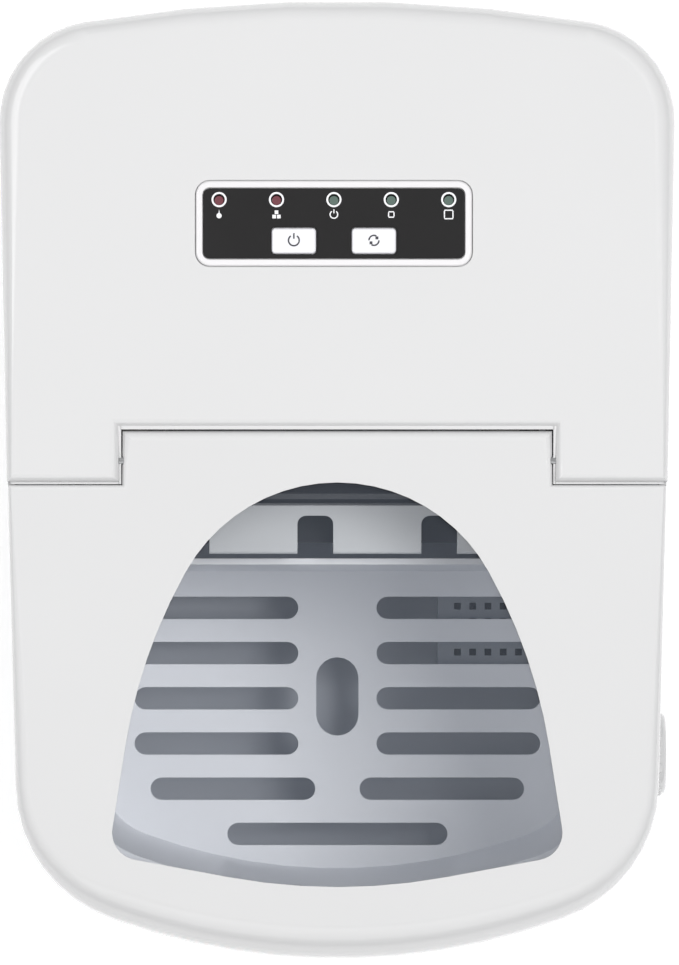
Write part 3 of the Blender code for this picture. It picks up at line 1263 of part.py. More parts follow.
def main():
    for obj in list(bpy.data.objects):
        bpy.data.objects.remove(obj, do_unlink=True)
    for name in ("parts", "cutters"):
        bpy.context.scene.collection.children.link(bpy.data.collections.new(name))
    panel = empty("panel_plane", (PANEL_X, PANEL_Y, cover_top(PANEL_Y)), (COVER_SLOPE, 0, 0))
    build_base()
    build_shell()
    build_inlet()
    build_tub()
    build_basket()
    build_frame()
    build_tray()
    build_pusher()
    build_evaporator()
    build_water_parts()
    build_drain()
    build_compressor()
    build_condenser()
    build_fan()
    build_circuit()
    build_electrics()
    build_rear_cover(panel)
    build_panel(panel)
    build_lid()
    build_hinge_pins()
    bpy.data.collections["parts"].name = "bullet_ice_maker"


main()
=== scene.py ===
"""Looks of a countertop bullet-ice maker: every surface dressed, small details added, studio and camera."""

from __future__ import annotations

import logging
import math
from dataclasses import dataclass, field
from enum import Enum
from typing import Callable, Sequence, Union

import bmesh
import bpy
from mathutils import Matrix, Vector

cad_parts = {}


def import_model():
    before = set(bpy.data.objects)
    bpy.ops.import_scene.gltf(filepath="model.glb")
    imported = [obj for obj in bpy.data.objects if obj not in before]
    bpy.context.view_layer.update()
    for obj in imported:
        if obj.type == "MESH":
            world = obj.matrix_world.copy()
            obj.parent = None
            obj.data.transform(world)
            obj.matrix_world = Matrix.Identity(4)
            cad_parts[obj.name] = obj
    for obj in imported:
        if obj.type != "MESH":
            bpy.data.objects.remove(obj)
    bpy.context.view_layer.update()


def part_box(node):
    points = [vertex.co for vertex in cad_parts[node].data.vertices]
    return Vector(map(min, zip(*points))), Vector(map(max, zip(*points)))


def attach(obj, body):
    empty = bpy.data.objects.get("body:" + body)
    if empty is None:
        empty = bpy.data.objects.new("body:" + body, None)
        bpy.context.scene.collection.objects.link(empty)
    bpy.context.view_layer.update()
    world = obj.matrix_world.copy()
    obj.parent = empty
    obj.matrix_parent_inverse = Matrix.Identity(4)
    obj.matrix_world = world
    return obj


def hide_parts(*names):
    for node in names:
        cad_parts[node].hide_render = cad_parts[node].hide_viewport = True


LOG = logging.getLogger("ice_maker")
Colour = tuple[float, float, float]


# ---- Shader writing --------------------------------------------------------------------------------

class Value:
    """A shader socket that can be used in Python arithmetic."""

    def __init__(self, shader: "Shader", socket: bpy.types.NodeSocket) -> None:
        """Wraps a socket of a shader's node tree."""
        self.shader = shader
        self.socket = socket

    def _math(self, operation: str, first: object, second: object) -> "Value":
        """Adds one Math node.

        Args:
            operation: The Math node's operation.
            first: Its first value, a number or a Value.
            second: Its second value, a number or a Value.

        Returns:
            The node's result.
        """
        return self.shader.node("ShaderNodeMath", {"operation": operation}, {0: first, 1: second})

    def __add__(self, other: object) -> "Value":
        """self + other."""
        return self._math("ADD", self, other)

    def __radd__(self, other: object) -> "Value":
        """other + self."""
        return self._math("ADD", other, self)

    def __sub__(self, other: object) -> "Value":
        """self - other."""
        return self._math("SUBTRACT", self, other)

    def __rsub__(self, other: object) -> "Value":
        """other - self."""
        return self._math("SUBTRACT", other, self)

    def __mul__(self, other: object) -> "Value":
        """self * other."""
        return self._math("MULTIPLY", self, other)

    def __rmul__(self, other: object) -> "Value":
        """other * self."""
        return self._math("MULTIPLY", other, self)

    def __pow__(self, other: object) -> "Value":
        """self to the power of other."""
        return self._math("POWER", self, other)

    def above(self, level: float) -> "Value":
        """1 where self is over level, otherwise 0."""
        return self._math("GREATER_THAN", self, level)


class Shader:
    """One material with a Principled BSDF, and the nodes that feed it."""

    def __init__(self, name: str) -> None:
        """Makes an empty material of that name."""
        self.material = bpy.data.materials.new(name)
        self.material.use_nodes = True
        self.tree = self.material.node_tree
        self.principled = self.tree.nodes["Principled BSDF"]

    def node(self, kind: str, settings: dict[str, object], inputs: dict[object, object],
             output: Union[int, str] = 0) -> Value:
        """Adds any node.

        Args:
            kind: The node's type.
            settings: Its properties, set first. A ramp's stops go under the key "stops".
            inputs: The values or links of its sockets, by name or number.
            output: The socket to return.

        Returns:
            The chosen output.
        """
        made = self.tree.nodes.new(kind)
        for key, value in settings.items():
            if key == "stops":
                self._set_stops(made, value)
            else:
                setattr(made, key, value)
        for key, value in inputs.items():
            if isinstance(value, Value):
                self.tree.links.new(value.socket, made.inputs[key])
            else:
                made.inputs[key].default_value = value
        return Value(self, made.outputs[output])

    @staticmethod
    def _set_stops(ramp: bpy.types.Node, stops: Sequence[tuple[float, Colour]]) -> None:
        """Gives a colour ramp its stops.

        Args:
            ramp: The ramp's node.
            stops: Each stop's place and colour, lowest first.
        """
        elements = ramp.color_ramp.elements
        while len(elements) < len(stops):
            elements.new(0.5)
        for element, (place, colour) in zip(elements, stops):
            element.position = place
            element.color = (*colour, 1.0)

    def place(self, scale: Sequence[float] = (1.0, 1.0, 1.0)) -> Value:
        """Object coordinates, stretched by scale.

        Args:
            scale: The stretch along each axis.

        Returns:
            The coordinates.
        """
        here = self.node("ShaderNodeTexCoord", {}, {}, "Object")
        return self.node("ShaderNodeMapping", {}, {"Vector": here, "Scale": tuple(scale)})

    def noise(self, scale: float, detail: float = 2.0, stretch: Sequence[float] = (1.0, 1.0, 1.0)) -> Value:
        """Smooth noise from 0 to 1.

        Args:
            scale: Cells in a metre.
            detail: Levels of finer noise.
            stretch: The stretch along each axis.

        Returns:
            The noise.
        """
        return self.node("ShaderNodeTexNoise", {}, {"Vector": self.place(stretch), "Scale": scale,
                                                    "Detail": detail}, "Fac")

    def mix(self, share: Value, low: Colour, high: Colour) -> Value:
        """A colour between low and high.

        Args:
            share: 0 for low, 1 for high.
            low: The first colour.
            high: The second colour.

        Returns:
            The mixed colour.
        """
        return self.node("ShaderNodeMix", {"data_type": "RGBA"},
                         {0: share, 6: (*low, 1.0), 7: (*high, 1.0)}, 2)

    def fix(self, **constants: object) -> None:
        """Sets the shader's own sockets, with spaces in their names written as underscores."""
        for key, value in constants.items():
            self.principled.inputs[key.replace("_", " ")].default_value = value

    def feed(self, name: str, value: Value) -> None:
        """Links a value into one of the shader's sockets.

        Args:
            name: The socket's name.
            value: What feeds it.
        """
        self.tree.links.new(value.socket, self.principled.inputs[name])

    def bump(self, height: Value, distance: float, strength: float = 1.0) -> None:
        """Raises the surface by a height.

        Args:
            height: The height, from 0 to 1.
            distance: How high 1 stands, in metres.
            strength: How much of it shows.
        """
        self.feed("Normal", self.node("ShaderNodeBump", {}, {"Height": height, "Distance": distance,
                                                             "Strength": strength}))


def shade(colour: Colour, factor: float) -> Colour:
    """A colour made darker or lighter."""
    return (colour[0] * factor, colour[1] * factor, colour[2] * factor)


@dataclass(frozen=True)
class Moulding:
    """Injection-moulded plastic: faint spark-eroded texture, soft sheen and handling marks."""

    colour: Colour
    roughness: float = 0.28
    texture: float = 0.000012
    grain: float = 2600.0
    tone: float = 0.03
    coat: float = 0.0
    see_through: float = 1.0

    def make(self, name: str) -> bpy.types.Material:
        """The material.

        Args:
            name: Its name.

        Returns:
            The finished material.
        """
        shader = Shader(name)
        cloud = shader.noise(9.0, 3.0)
        smudge = shader.noise(45.0, 4.0)
        fine = shader.noise(self.grain, 2.0)
        shader.feed("Base Color", shader.mix(cloud, shade(self.colour, 1.0 - self.tone), self.colour))
        shader.feed("Roughness", self.roughness * 0.85 + smudge * (self.roughness * 0.35))
        shader.bump(fine, self.texture, 0.6)
        shader.fix(Coat_Weight=self.coat, Coat_Roughness=0.1, Alpha=self.see_through)
        return shader.material


@dataclass(frozen=True)
class SmokedPane:
    """Tinted clear plastic: a thin blue-grey sheet with a hard gloss and hairline scuffs."""

    colour: Colour
    cover: float = 0.10

    def make(self, name: str) -> bpy.types.Material:
        """The material.

        Args:
            name: Its name.

        Returns:
            The finished material.
        """
        shader = Shader(name)
        scuff = shader.noise(320.0, 5.0, (1.0, 0.08, 1.0))
        shader.fix(Base_Color=(*self.colour, 1.0), Alpha=self.cover, IOR=1.46, Coat_Weight=0.3)
        shader.feed("Roughness", 0.02 + (scuff ** 4) * 0.20)
        shader.material.surface_render_method = "BLENDED"
        return shader.material


@dataclass(frozen=True)
class DrawnMetal:
    """Bare or plated metal with fine lines along one axis and slightly dulled patches."""

    colour: Colour
    roughness: float = 0.28
    lines: tuple[float, float, float] = (1.0, 1.0, 12.0)
    dulling: float = 0.15

    def make(self, name: str) -> bpy.types.Material:
        """The material.

        Args:
            name: Its name.

        Returns:
            The finished material.
        """
        shader = Shader(name)
        grain = shader.noise(420.0, 3.0, self.lines)
        patch = shader.noise(30.0, 3.0)
        shader.fix(Metallic=1.0)
        shader.feed("Base Color", shader.mix(patch, shade(self.colour, 1.0 - self.dulling), self.colour))
        shader.feed("Roughness", self.roughness * 0.7 + grain * (self.roughness * 0.6))
        shader.bump(grain, 0.00002, 0.35)
        return shader.material


@dataclass(frozen=True)
class Enamel:
    """Sprayed paint on pressed steel, with orange peel and a dusting on top."""

    colour: Colour
    dust: Colour = (0.16, 0.155, 0.15)

    def make(self, name: str) -> bpy.types.Material:
        """The material.

        Args:
            name: Its name.

        Returns:
            The finished material.
        """
        shader = Shader(name)
        peel = shader.noise(520.0, 2.0)
        dusty = shader.noise(60.0, 5.0) ** 3
        shader.feed("Base Color", shader.mix(dusty, self.colour, self.dust))
        shader.feed("Roughness", 0.25 + dusty * 0.5)
        shader.bump(peel, 0.00004, 0.5)
        return shader.material


@dataclass(frozen=True)
class Bead:
    """Expanded bead foam, with painted shade darkening the hollows between the beads."""

    colour: Colour

    def make(self, name: str) -> bpy.types.Material:
        """The material.

        Args:
            name: Its name.

        Returns:
            The finished material.
        """
        shader = Shader(name)
        cells = shader.node("ShaderNodeTexVoronoi", {}, {"Vector": shader.place(), "Scale": 330.0},
                            "Distance")
        # Painted shade: the colour darkens towards the hollows between beads, where the bump sinks.
        shader.feed("Base Color", shader.mix(cells, self.colour, shade(self.colour, 0.82)))
        shader.fix(Roughness=0.9)
        shader.bump(1.0 - cells, 0.0003, 0.7)
        return shader.material


@dataclass(frozen=True)
class Rubber:
    """Matt rubber with a pebbled skin and grey scuffing."""

    colour: Colour

    def make(self, name: str) -> bpy.types.Material:
        """The material.

        Args:
            name: Its name.

        Returns:
            The finished material.
        """
        shader = Shader(name)
        scuff = shader.noise(120.0, 5.0) ** 2
        shader.feed("Base Color", shader.mix(scuff, self.colour, shade(self.colour, 3.0)))
        shader.feed("Roughness", 0.72 + scuff * 0.2)
        shader.bump(shader.noise(1800.0, 2.0), 0.00005, 0.6)
        return shader.material


@dataclass(frozen=True)
class Circuit:
    """Solder-masked board with faint tracks under the mask."""

    colour: Colour

    def make(self, name: str) -> bpy.types.Material:
        """The material.

        Args:
            name: Its name.

        Returns:
            The finished material.
        """
        shader = Shader(name)
        tracks = shader.node("ShaderNodeTexBrick", {"offset": 0.37}, {
            "Vector": shader.place((1.0, 1.0, 1.0)), "Scale": 160.0, "Mortar Size": 0.05,
            "Color1": (0, 0, 0, 1), "Color2": (0, 0, 0, 1), "Mortar": (1, 1, 1, 1)}, "Color")
        lit = shader.node("ShaderNodeRGBToBW", {}, {0: tracks})
        shader.feed("Base Color", shader.mix(lit, self.colour, shade(self.colour, 2.2)))
        shader.feed("Roughness", 0.35 + shader.noise(200.0, 3.0) * 0.15)
        shader.bump(lit, 0.00003, 0.6)
        return shader.material


Finish = Union[Moulding, SmokedPane, DrawnMetal, Enamel, Bead, Rubber, Circuit]


class Palette(Enum):
    """The finishes of the machine, each with its record slot."""

    WHITE = ("white_plastic", Moulding((0.63, 0.63, 0.633), 0.16, coat=0.5))
    TRAY_WHITE = ("white_plastic", Moulding((0.72, 0.74, 0.76), 0.34))
    GREY = ("grey_plastic", Moulding((0.40, 0.43, 0.48), 0.38, texture=0.00002, tone=0.06))
    TUB = ("grey_plastic", Moulding((0.70, 0.73, 0.79), 0.40, texture=0.00002, tone=0.04))
    # Near-black finish for the harvest frame and water tray: painted shade, standing in for the shadow in the
    # chamber behind the paddles.
    CHAMBER_SHADE = ("grey_plastic", Moulding((0.075, 0.078, 0.085), 0.42, texture=0.00002, tone=0.06))
    BASKET = ("basket_plastic", Moulding((0.95, 0.965, 1.0), 0.32, tone=0.02))
    PANE = ("tinted_window", SmokedPane((0.16, 0.185, 0.23)))
    BEZEL = ("bezel_silver", Moulding((0.74, 0.73, 0.74), 0.32, coat=0.3))
    FACE = ("panel_black", Moulding((0.008, 0.0075, 0.008), 0.55, texture=0.00002))
    LENS_RED = ("lens_red", Moulding((0.145, 0.038, 0.050), 0.2, coat=0.6))
    LENS_GREEN = ("lens_green", Moulding((0.090, 0.135, 0.115), 0.2, coat=0.6))
    BUTTON = ("button_white", Moulding((0.78, 0.78, 0.81), 0.3, coat=0.2))
    BOARD = ("board_green", Circuit((0.03, 0.14, 0.07)))
    BLACK = ("black_plastic", Moulding((0.028, 0.028, 0.03), 0.45, texture=0.00003))
    STEEL = ("steel", DrawnMetal((0.60, 0.61, 0.62), 0.3))
    NICKEL = ("nickel", DrawnMetal((0.68, 0.66, 0.62), 0.22))
    COPPER = ("copper", DrawnMetal((0.72, 0.38, 0.25), 0.27))
    FINS = ("aluminium", DrawnMetal((0.72, 0.73, 0.74), 0.4))
    CAN = ("black_paint", Enamel((0.018, 0.018, 0.02)))
    FOAM = ("foam_white", Bead((0.82, 0.82, 0.80)))
    RUBBER = ("rubber", Rubber((0.022, 0.022, 0.022)))
    SILICONE = ("silicone", Moulding((0.62, 0.66, 0.68), 0.3, see_through=0.75))
    PRINT = ("white_plastic", Moulding((0.80, 0.80, 0.82), 0.5, tone=0.01))
    INK = ("black_plastic", Moulding((0.05, 0.05, 0.06), 0.5, tone=0.01))

    def material(self) -> bpy.types.Material:
        """The palette's material, made once."""
        name = f"{self.name.lower()}_finish"
        return bpy.data.materials.get(name) or self.value[1].make(name)

    @property
    def slot(self) -> str:
        """The record's material slot."""
        return self.value[0]


# ---- Building pieces ---------------------------------------------------------------------------------

def add_piece(name: str, mesh: bpy.types.Mesh, finish: Palette, body: str) -> bpy.types.Object:
    """Puts a finished mesh in the scene.

    Args:
        name: The piece's name.
        mesh: Its mesh, in the frame's coordinates.
        finish: What it is made of.
        body: The body that it moves with.

    Returns:
        The new object.
    """
    piece = bpy.data.objects.new(name, mesh)
    bpy.context.scene.collection.objects.link(piece)
    mesh.materials.clear()
    mesh.materials.append(finish.material())
    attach(piece, body)
    return piece


def smooth(mesh: bpy.types.Mesh, angle: float = 32.0) -> None:
    """Shades a mesh smooth, apart from edges sharper than angle degrees."""
    mesh.shade_smooth()
    mesh.set_sharp_from_angle(angle=math.radians(angle))


def soften(piece: bpy.types.Object, width: float, segments: int = 2, angle: float = 32.0) -> None:
    """Rounds a piece's sharp edges, as a mould or a press leaves them.

    Args:
        piece: The piece.
        width: The rounding's width.
        segments: Faces across it.
        angle: Edges sharper than this are rounded, in degrees.
    """
    bevel = piece.modifiers.new("edge", "BEVEL")
    bevel.width = width
    bevel.segments = segments
    bevel.limit_method = "ANGLE"
    bevel.angle_limit = math.radians(angle)
    bevel.use_clamp_overlap = True
    bevel.harden_normals = True
    even = piece.modifiers.new("even", "WEIGHTED_NORMAL")
    even.keep_sharp = True


def refine(node: str, finish: Palette, body: str, edge: float = 0.0004,
           angle: float = 32.0) -> bpy.types.Object:
    """Replaces a frame solid with a copy whose surfaces are clean and whose edges are rounded.

    Args:
        node: The solid's name.
        finish: What it is made of.
        body: The body that it moves with.
        edge: The width of the edges' rounding, or 0 for none.
        angle: Edges sharper than this stay edges, in degrees.

    Returns:
        The new piece.
    """
    form = bmesh.new()
    form.from_mesh(bpy.data.objects[node].data)
    bmesh.ops.remove_doubles(form, verts=form.verts, dist=0.000002)
    bmesh.ops.dissolve_limit(form, angle_limit=math.radians(0.4), verts=form.verts, edges=form.edges)
    mesh = bpy.data.meshes.new(node + "_skin")
    form.to_mesh(mesh)
    form.free()
    smooth(mesh, angle)
    piece = add_piece(node + "_skin", mesh, finish, body)
    if edge > 0.0:
        soften(piece, edge, angle=angle)
    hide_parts(node)
    return piece


def form_piece(name: str, finish: Palette, body: str, make: Callable[[bmesh.types.BMesh], None],
               place: Matrix, edge: float = 0.0) -> bpy.types.Object:
    """A new piece drawn by a function in its own frame and then put in its place.

    Args:
        name: The piece's name.
        finish: What it is made of.
        body: The body that it moves with.
        make: Draws the shape.
        place: From the shape's own frame to the machine's.
        edge: The width of the edges' rounding, or 0 for none.

    Returns:
        The new piece.
    """
    form = bmesh.new()
    make(form)
    bmesh.ops.remove_doubles(form, verts=form.verts, dist=0.000001)
    bmesh.ops.recalc_face_normals(form, faces=form.faces)
    bmesh.ops.transform(form, matrix=place, verts=form.verts)
    mesh = bpy.data.meshes.new(name)
    form.to_mesh(mesh)
    form.free()
    smooth(mesh)
    piece = add_piece(name, mesh, finish, body)
    if edge > 0.0:
        soften(piece, edge)
    return piece


def thicken(form: bmesh.types.BMesh, thickness: float) -> None:
    """Gives flat faces a thickness upwards.

    Args:
        form: The flat shape, in the XY plane.
        thickness: How far it is raised.
    """
    made = bmesh.ops.extrude_face_region(form, geom=list(form.faces))
    top = [part for part in made["geom"] if isinstance(part, bmesh.types.BMVert)]
    bmesh.ops.translate(form, verts=top, vec=(0.0, 0.0, thickness))


def draw_ring(form: bmesh.types.BMesh, inner: float, outer: float, start: float = 0.0,
              sweep: float = math.tau, steps: int = 40) -> None:
    """A flat ring, or part of one, made by turning a short line.

    Args:
        form: The shape to add to.
        inner: The inner radius.
        outer: The outer radius.
        start: The angle at which it starts.
        sweep: How far it turns.
        steps: Faces along it.
    """
    turn = Matrix.Rotation(start, 3, "Z")
    ends = [form.verts.new(turn @ Vector((radius, 0.0, 0.0))) for radius in (inner, outer)]
    line = form.edges.new(ends)
    full = abs(sweep - math.tau) < 1e-6
    bmesh.ops.spin(form, geom=[*ends, line], cent=(0, 0, 0), axis=(0, 0, 1), angle=sweep, steps=steps,
                   use_merge=full)


def draw_bar(form: bmesh.types.BMesh, x: float, y: float, width: float, depth: float) -> None:
    """A flat rectangle with its middle at x, y.

    Args:
        form: The shape to add to.
        x: Its middle, across.
        y: Its middle, up.
        width: Its size across.
        depth: Its size up.
    """
    place = Matrix.Translation((x, y, 0.0)) @ Matrix.Diagonal((width, depth, 1.0, 1.0))
    bmesh.ops.create_grid(form, x_segments=1, y_segments=1, size=0.5, matrix=place)


class Pictogram(Enum):
    """Plain signs printed on the control panel."""

    DROP = "drop"
    FULL = "full"
    POWER = "power"
    SMALL = "small"
    LARGE = "large"
    CHANGE = "change"

    def draw(self, form: bmesh.types.BMesh, size: float) -> None:
        """Draws the sign, flat.

        Args:
            form: The shape to add to.
            size: Its height.
        """
        line = size * 0.13
        if self is Pictogram.DROP:
            made = bmesh.ops.create_circle(form, cap_ends=True, segments=24, radius=size * 0.30)
            peak = max(made["verts"], key=lambda vert: vert.co.y)
            peak.co.y += size * 0.42
            bmesh.ops.translate(form, verts=made["verts"], vec=(0.0, -size * 0.14, 0.0))
        elif self is Pictogram.FULL:
            for x, y in ((-0.27, -0.24), (0.27, -0.24), (0.0, 0.26)):
                draw_bar(form, x * size, y * size, size * 0.42, size * 0.42)
        elif self is Pictogram.POWER:
            draw_ring(form, size * 0.37, size * 0.50, math.radians(125), math.radians(290), 30)
            draw_bar(form, 0.0, size * 0.36, line, size * 0.46)
        elif self is Pictogram.CHANGE:
            draw_ring(form, size * 0.34, size * 0.47, math.radians(60), math.radians(120), 16)
            draw_ring(form, size * 0.34, size * 0.47, math.radians(240), math.radians(120), 16)
            draw_bar(form, -size * 0.24, -size * 0.20, size * 0.24, size * 0.24)
            draw_bar(form, size * 0.24, size * 0.20, size * 0.24, size * 0.24)
        else:
            side = size * (0.62 if self is Pictogram.SMALL else 0.98)
            for x, y, width, depth in ((0, side / 2, side, line), (0, -side / 2, side, line),
                                       (side / 2, 0, line, side - line), (-side / 2, 0, line, side - line)):
                draw_bar(form, x, y, width, depth)


# ---- Sub-assemblies ------------------------------------------------------------------------------------

@dataclass
class Enclosure:
    """Body shell, rear cover, base pan, feet, and what shows on them."""

    edge: float = 0.0005
    screw_radius: float = 0.0034
    screw_slot: float = 0.0009
    rib_count: int = 26
    rib_length: float = 0.0038
    rib_width: float = 0.0011
    notch_half: float = 0.0781
    notch_back: float = 0.0200
    lid_slope: float = math.radians(9.5)
    lip_reach: float = 0.0010
    lip_side_room: float = 0.0002
    lip_front: float = 0.0009
    lip_root: float = 0.0003
    lip_end: float = 0.0040
    lip_thickness: float = 0.0011
    lip_z: float = 0.3168
    feet: Sequence[str] = ("foot_front_left", "foot_front_right", "foot_rear_left", "foot_rear_right")

    def build(self) -> list[bpy.types.Object]:
        """Dresses the enclosure.

        Returns:
            Its pieces.
        """
        pieces = [refine("body_shell", Palette.WHITE, "root", self.edge),
                  refine("rear_cover", Palette.WHITE, "root", self.edge),
                  refine("base_pan", Palette.GREY, "root", self.edge),
                  refine("drain_cap", Palette.WHITE, "cap", 0.0006),
                  refine("drain_spout", Palette.GREY, "root", 0.0),
                  refine("power_inlet", Palette.BLACK, "root", 0.0005)]
        pieces += [refine(foot, Palette.RUBBER, "root", 0.0006) for foot in self.feet]
        pieces += self.cap_ribs()
        pieces += self.inlet_pins()
        pieces += self.base_screws()
        pieces += self.seam_lips()
        return pieces

    def cap_ribs(self) -> list[bpy.types.Object]:
        """Grip ribs round the drain cap's rim.

        Returns:
            The ribs: one piece.
        """
        low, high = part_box("drain_cap")
        radius = (high[2] - low[2]) / 2
        middle_y, middle_z = (low[1] + high[1]) / 2, (low[2] + high[2]) / 2
        place = Matrix.Translation((high[0] - self.rib_length, middle_y, middle_z))

        def draw(form: bmesh.types.BMesh) -> None:
            """Short bars sunk a little into the rim."""
            for index in range(self.rib_count):
                turn = Matrix.Rotation(math.tau * index / self.rib_count, 4, "X")
                size = Matrix.Diagonal((self.rib_length, self.rib_width, self.rib_width, 1.0))
                spot = turn @ Matrix.Translation((0.0, 0.0, radius))
                bmesh.ops.create_cube(form, size=1.0, matrix=spot @ size)
            bmesh.ops.bevel(form, geom=list(form.edges), offset=self.rib_width * 0.25, segments=2,
                            profile=0.5, material=-1, affect="EDGES")

        return [form_piece("cap_ribs", Palette.WHITE, "cap", draw, place)]

    def seam_lips(self) -> list[bpy.types.Object]:
        """White ledges on the rear cover, which close the view down its gap round the lid.

        Returns:
            The ledge: one piece.
        """
        low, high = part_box("rear_cover")
        side = high[0] - self.lip_end
        back = self.notch_back - self.lip_reach
        inner = self.notch_half - self.lip_reach + self.lip_side_room
        spans = [((-inner - self.lip_root, inner + self.lip_root), (back, self.notch_back + self.lip_root))]
        for sign in (-1.0, 1.0):
            across = sorted((sign * inner, sign * (self.notch_half + self.lip_root)))
            spans.append((tuple(across), (low[1] - self.lip_front, self.notch_back + self.lip_root)))
            across = sorted((sign * self.notch_half, sign * side))
            spans.append((tuple(across), (low[1] - self.lip_front, low[1] + self.lip_root)))

        def draw(form: bmesh.types.BMesh) -> None:
            """Flat bars under the lid's face, which rise with it."""
            for (left, right), (front, rear) in spans:
                draw_bar(form, (left + right) / 2, (front + rear) / 2, right - left, rear - front)
            thicken(form, self.lip_thickness)

        rise = Matrix.Shear("XY", 4, (0.0, 0.0))
        rise[2][1] = math.tan(self.lid_slope)
        place = Matrix.Translation((0.0, 0.0, self.lip_z)) @ rise
        return [form_piece("seam_lip", Palette.WHITE, "root", draw, place)]

    def inlet_pins(self) -> list[bpy.types.Object]:
        """Three flat contact blades in the inlet's well.

        Returns:
            The blades.
        """
        low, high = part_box("power_inlet")
        middle_x = (low[0] + high[0]) / 2
        middle_z = (low[2] + high[2]) / 2
        blades = []
        for index, (x, z) in enumerate(((-0.006, -0.0012), (0.0, 0.0026), (0.006, -0.0012))):
            def draw(form: bmesh.types.BMesh) -> None:
                """One blade."""
                bmesh.ops.create_cube(form, size=1.0, matrix=Matrix.Diagonal((0.0020, 0.0085, 0.0034, 1.0)))
                bmesh.ops.bevel(form, geom=list(form.edges), offset=0.0003, segments=2, profile=0.5,
                                material=-1, affect="EDGES")
            place = Matrix.Translation((middle_x + x, high[1] - 0.0095, middle_z + z))
            blades.append(form_piece(f"inlet_blade_{index}", Palette.STEEL, "root", draw, place))
        return blades

    def base_screws(self) -> list[bpy.types.Object]:
        """Cross-head screws under the base, beside each foot.

        Returns:
            The screws.
        """
        base_low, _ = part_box("base_pan")
        screws = []
        for foot in self.feet:
            low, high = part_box(foot)
            x = (low[0] + high[0]) / 2
            y = (low[1] + high[1]) / 2 - math.copysign(0.026, low[1] + high[1])
            place = Matrix.Translation((x, y, base_low[2] + 0.0001)) @ Matrix.Rotation(math.pi, 4, "X")
            screws.append(form_piece(foot.replace("foot", "base_screw"), Palette.STEEL, "root",
                                     self.draw_screw, place))
        return screws

    def draw_screw(self, form: bmesh.types.BMesh) -> None:
        """A pan-head screw with a cross recess.

        Args:
            form: The shape to add to.
        """
        radius = self.screw_radius
        bmesh.ops.create_uvsphere(form, u_segments=24, v_segments=12, radius=radius,
                                  matrix=Matrix.Diagonal((1.0, 1.0, 0.45, 1.0)))
        parts = list(form.verts) + list(form.edges) + list(form.faces)
        bmesh.ops.bisect_plane(form, geom=parts, plane_co=(0, 0, 0), plane_no=(0, 0, 1), clear_inner=True)
        rim = [edge for edge in form.edges if edge.is_boundary]
        bmesh.ops.contextual_create(form, geom=rim)
        for face in form.faces:
            middle = face.calc_center_median()
            near = min(abs(middle.x), abs(middle.y)) < self.screw_slot / 2 and middle.length < radius * 0.8
            if near and middle.z > 0.0:
                for vert in face.verts:
                    vert.co.z = min(vert.co.z, radius * 0.22)


@dataclass
class Lid:
    """The windowed lid and its pins."""

    edge: float = 0.0010

    def build(self) -> list[bpy.types.Object]:
        """Dresses the lid.

        Returns:
            Its pieces.
        """
        return [refine("lid_frame", Palette.WHITE, "lid", self.edge),
                refine("lid_window", Palette.PANE, "lid", 0.0003),
                refine("hinge_pin_left", Palette.STEEL, "root", 0.0003),
                refine("hinge_pin_right", Palette.STEEL, "root", 0.0003)]


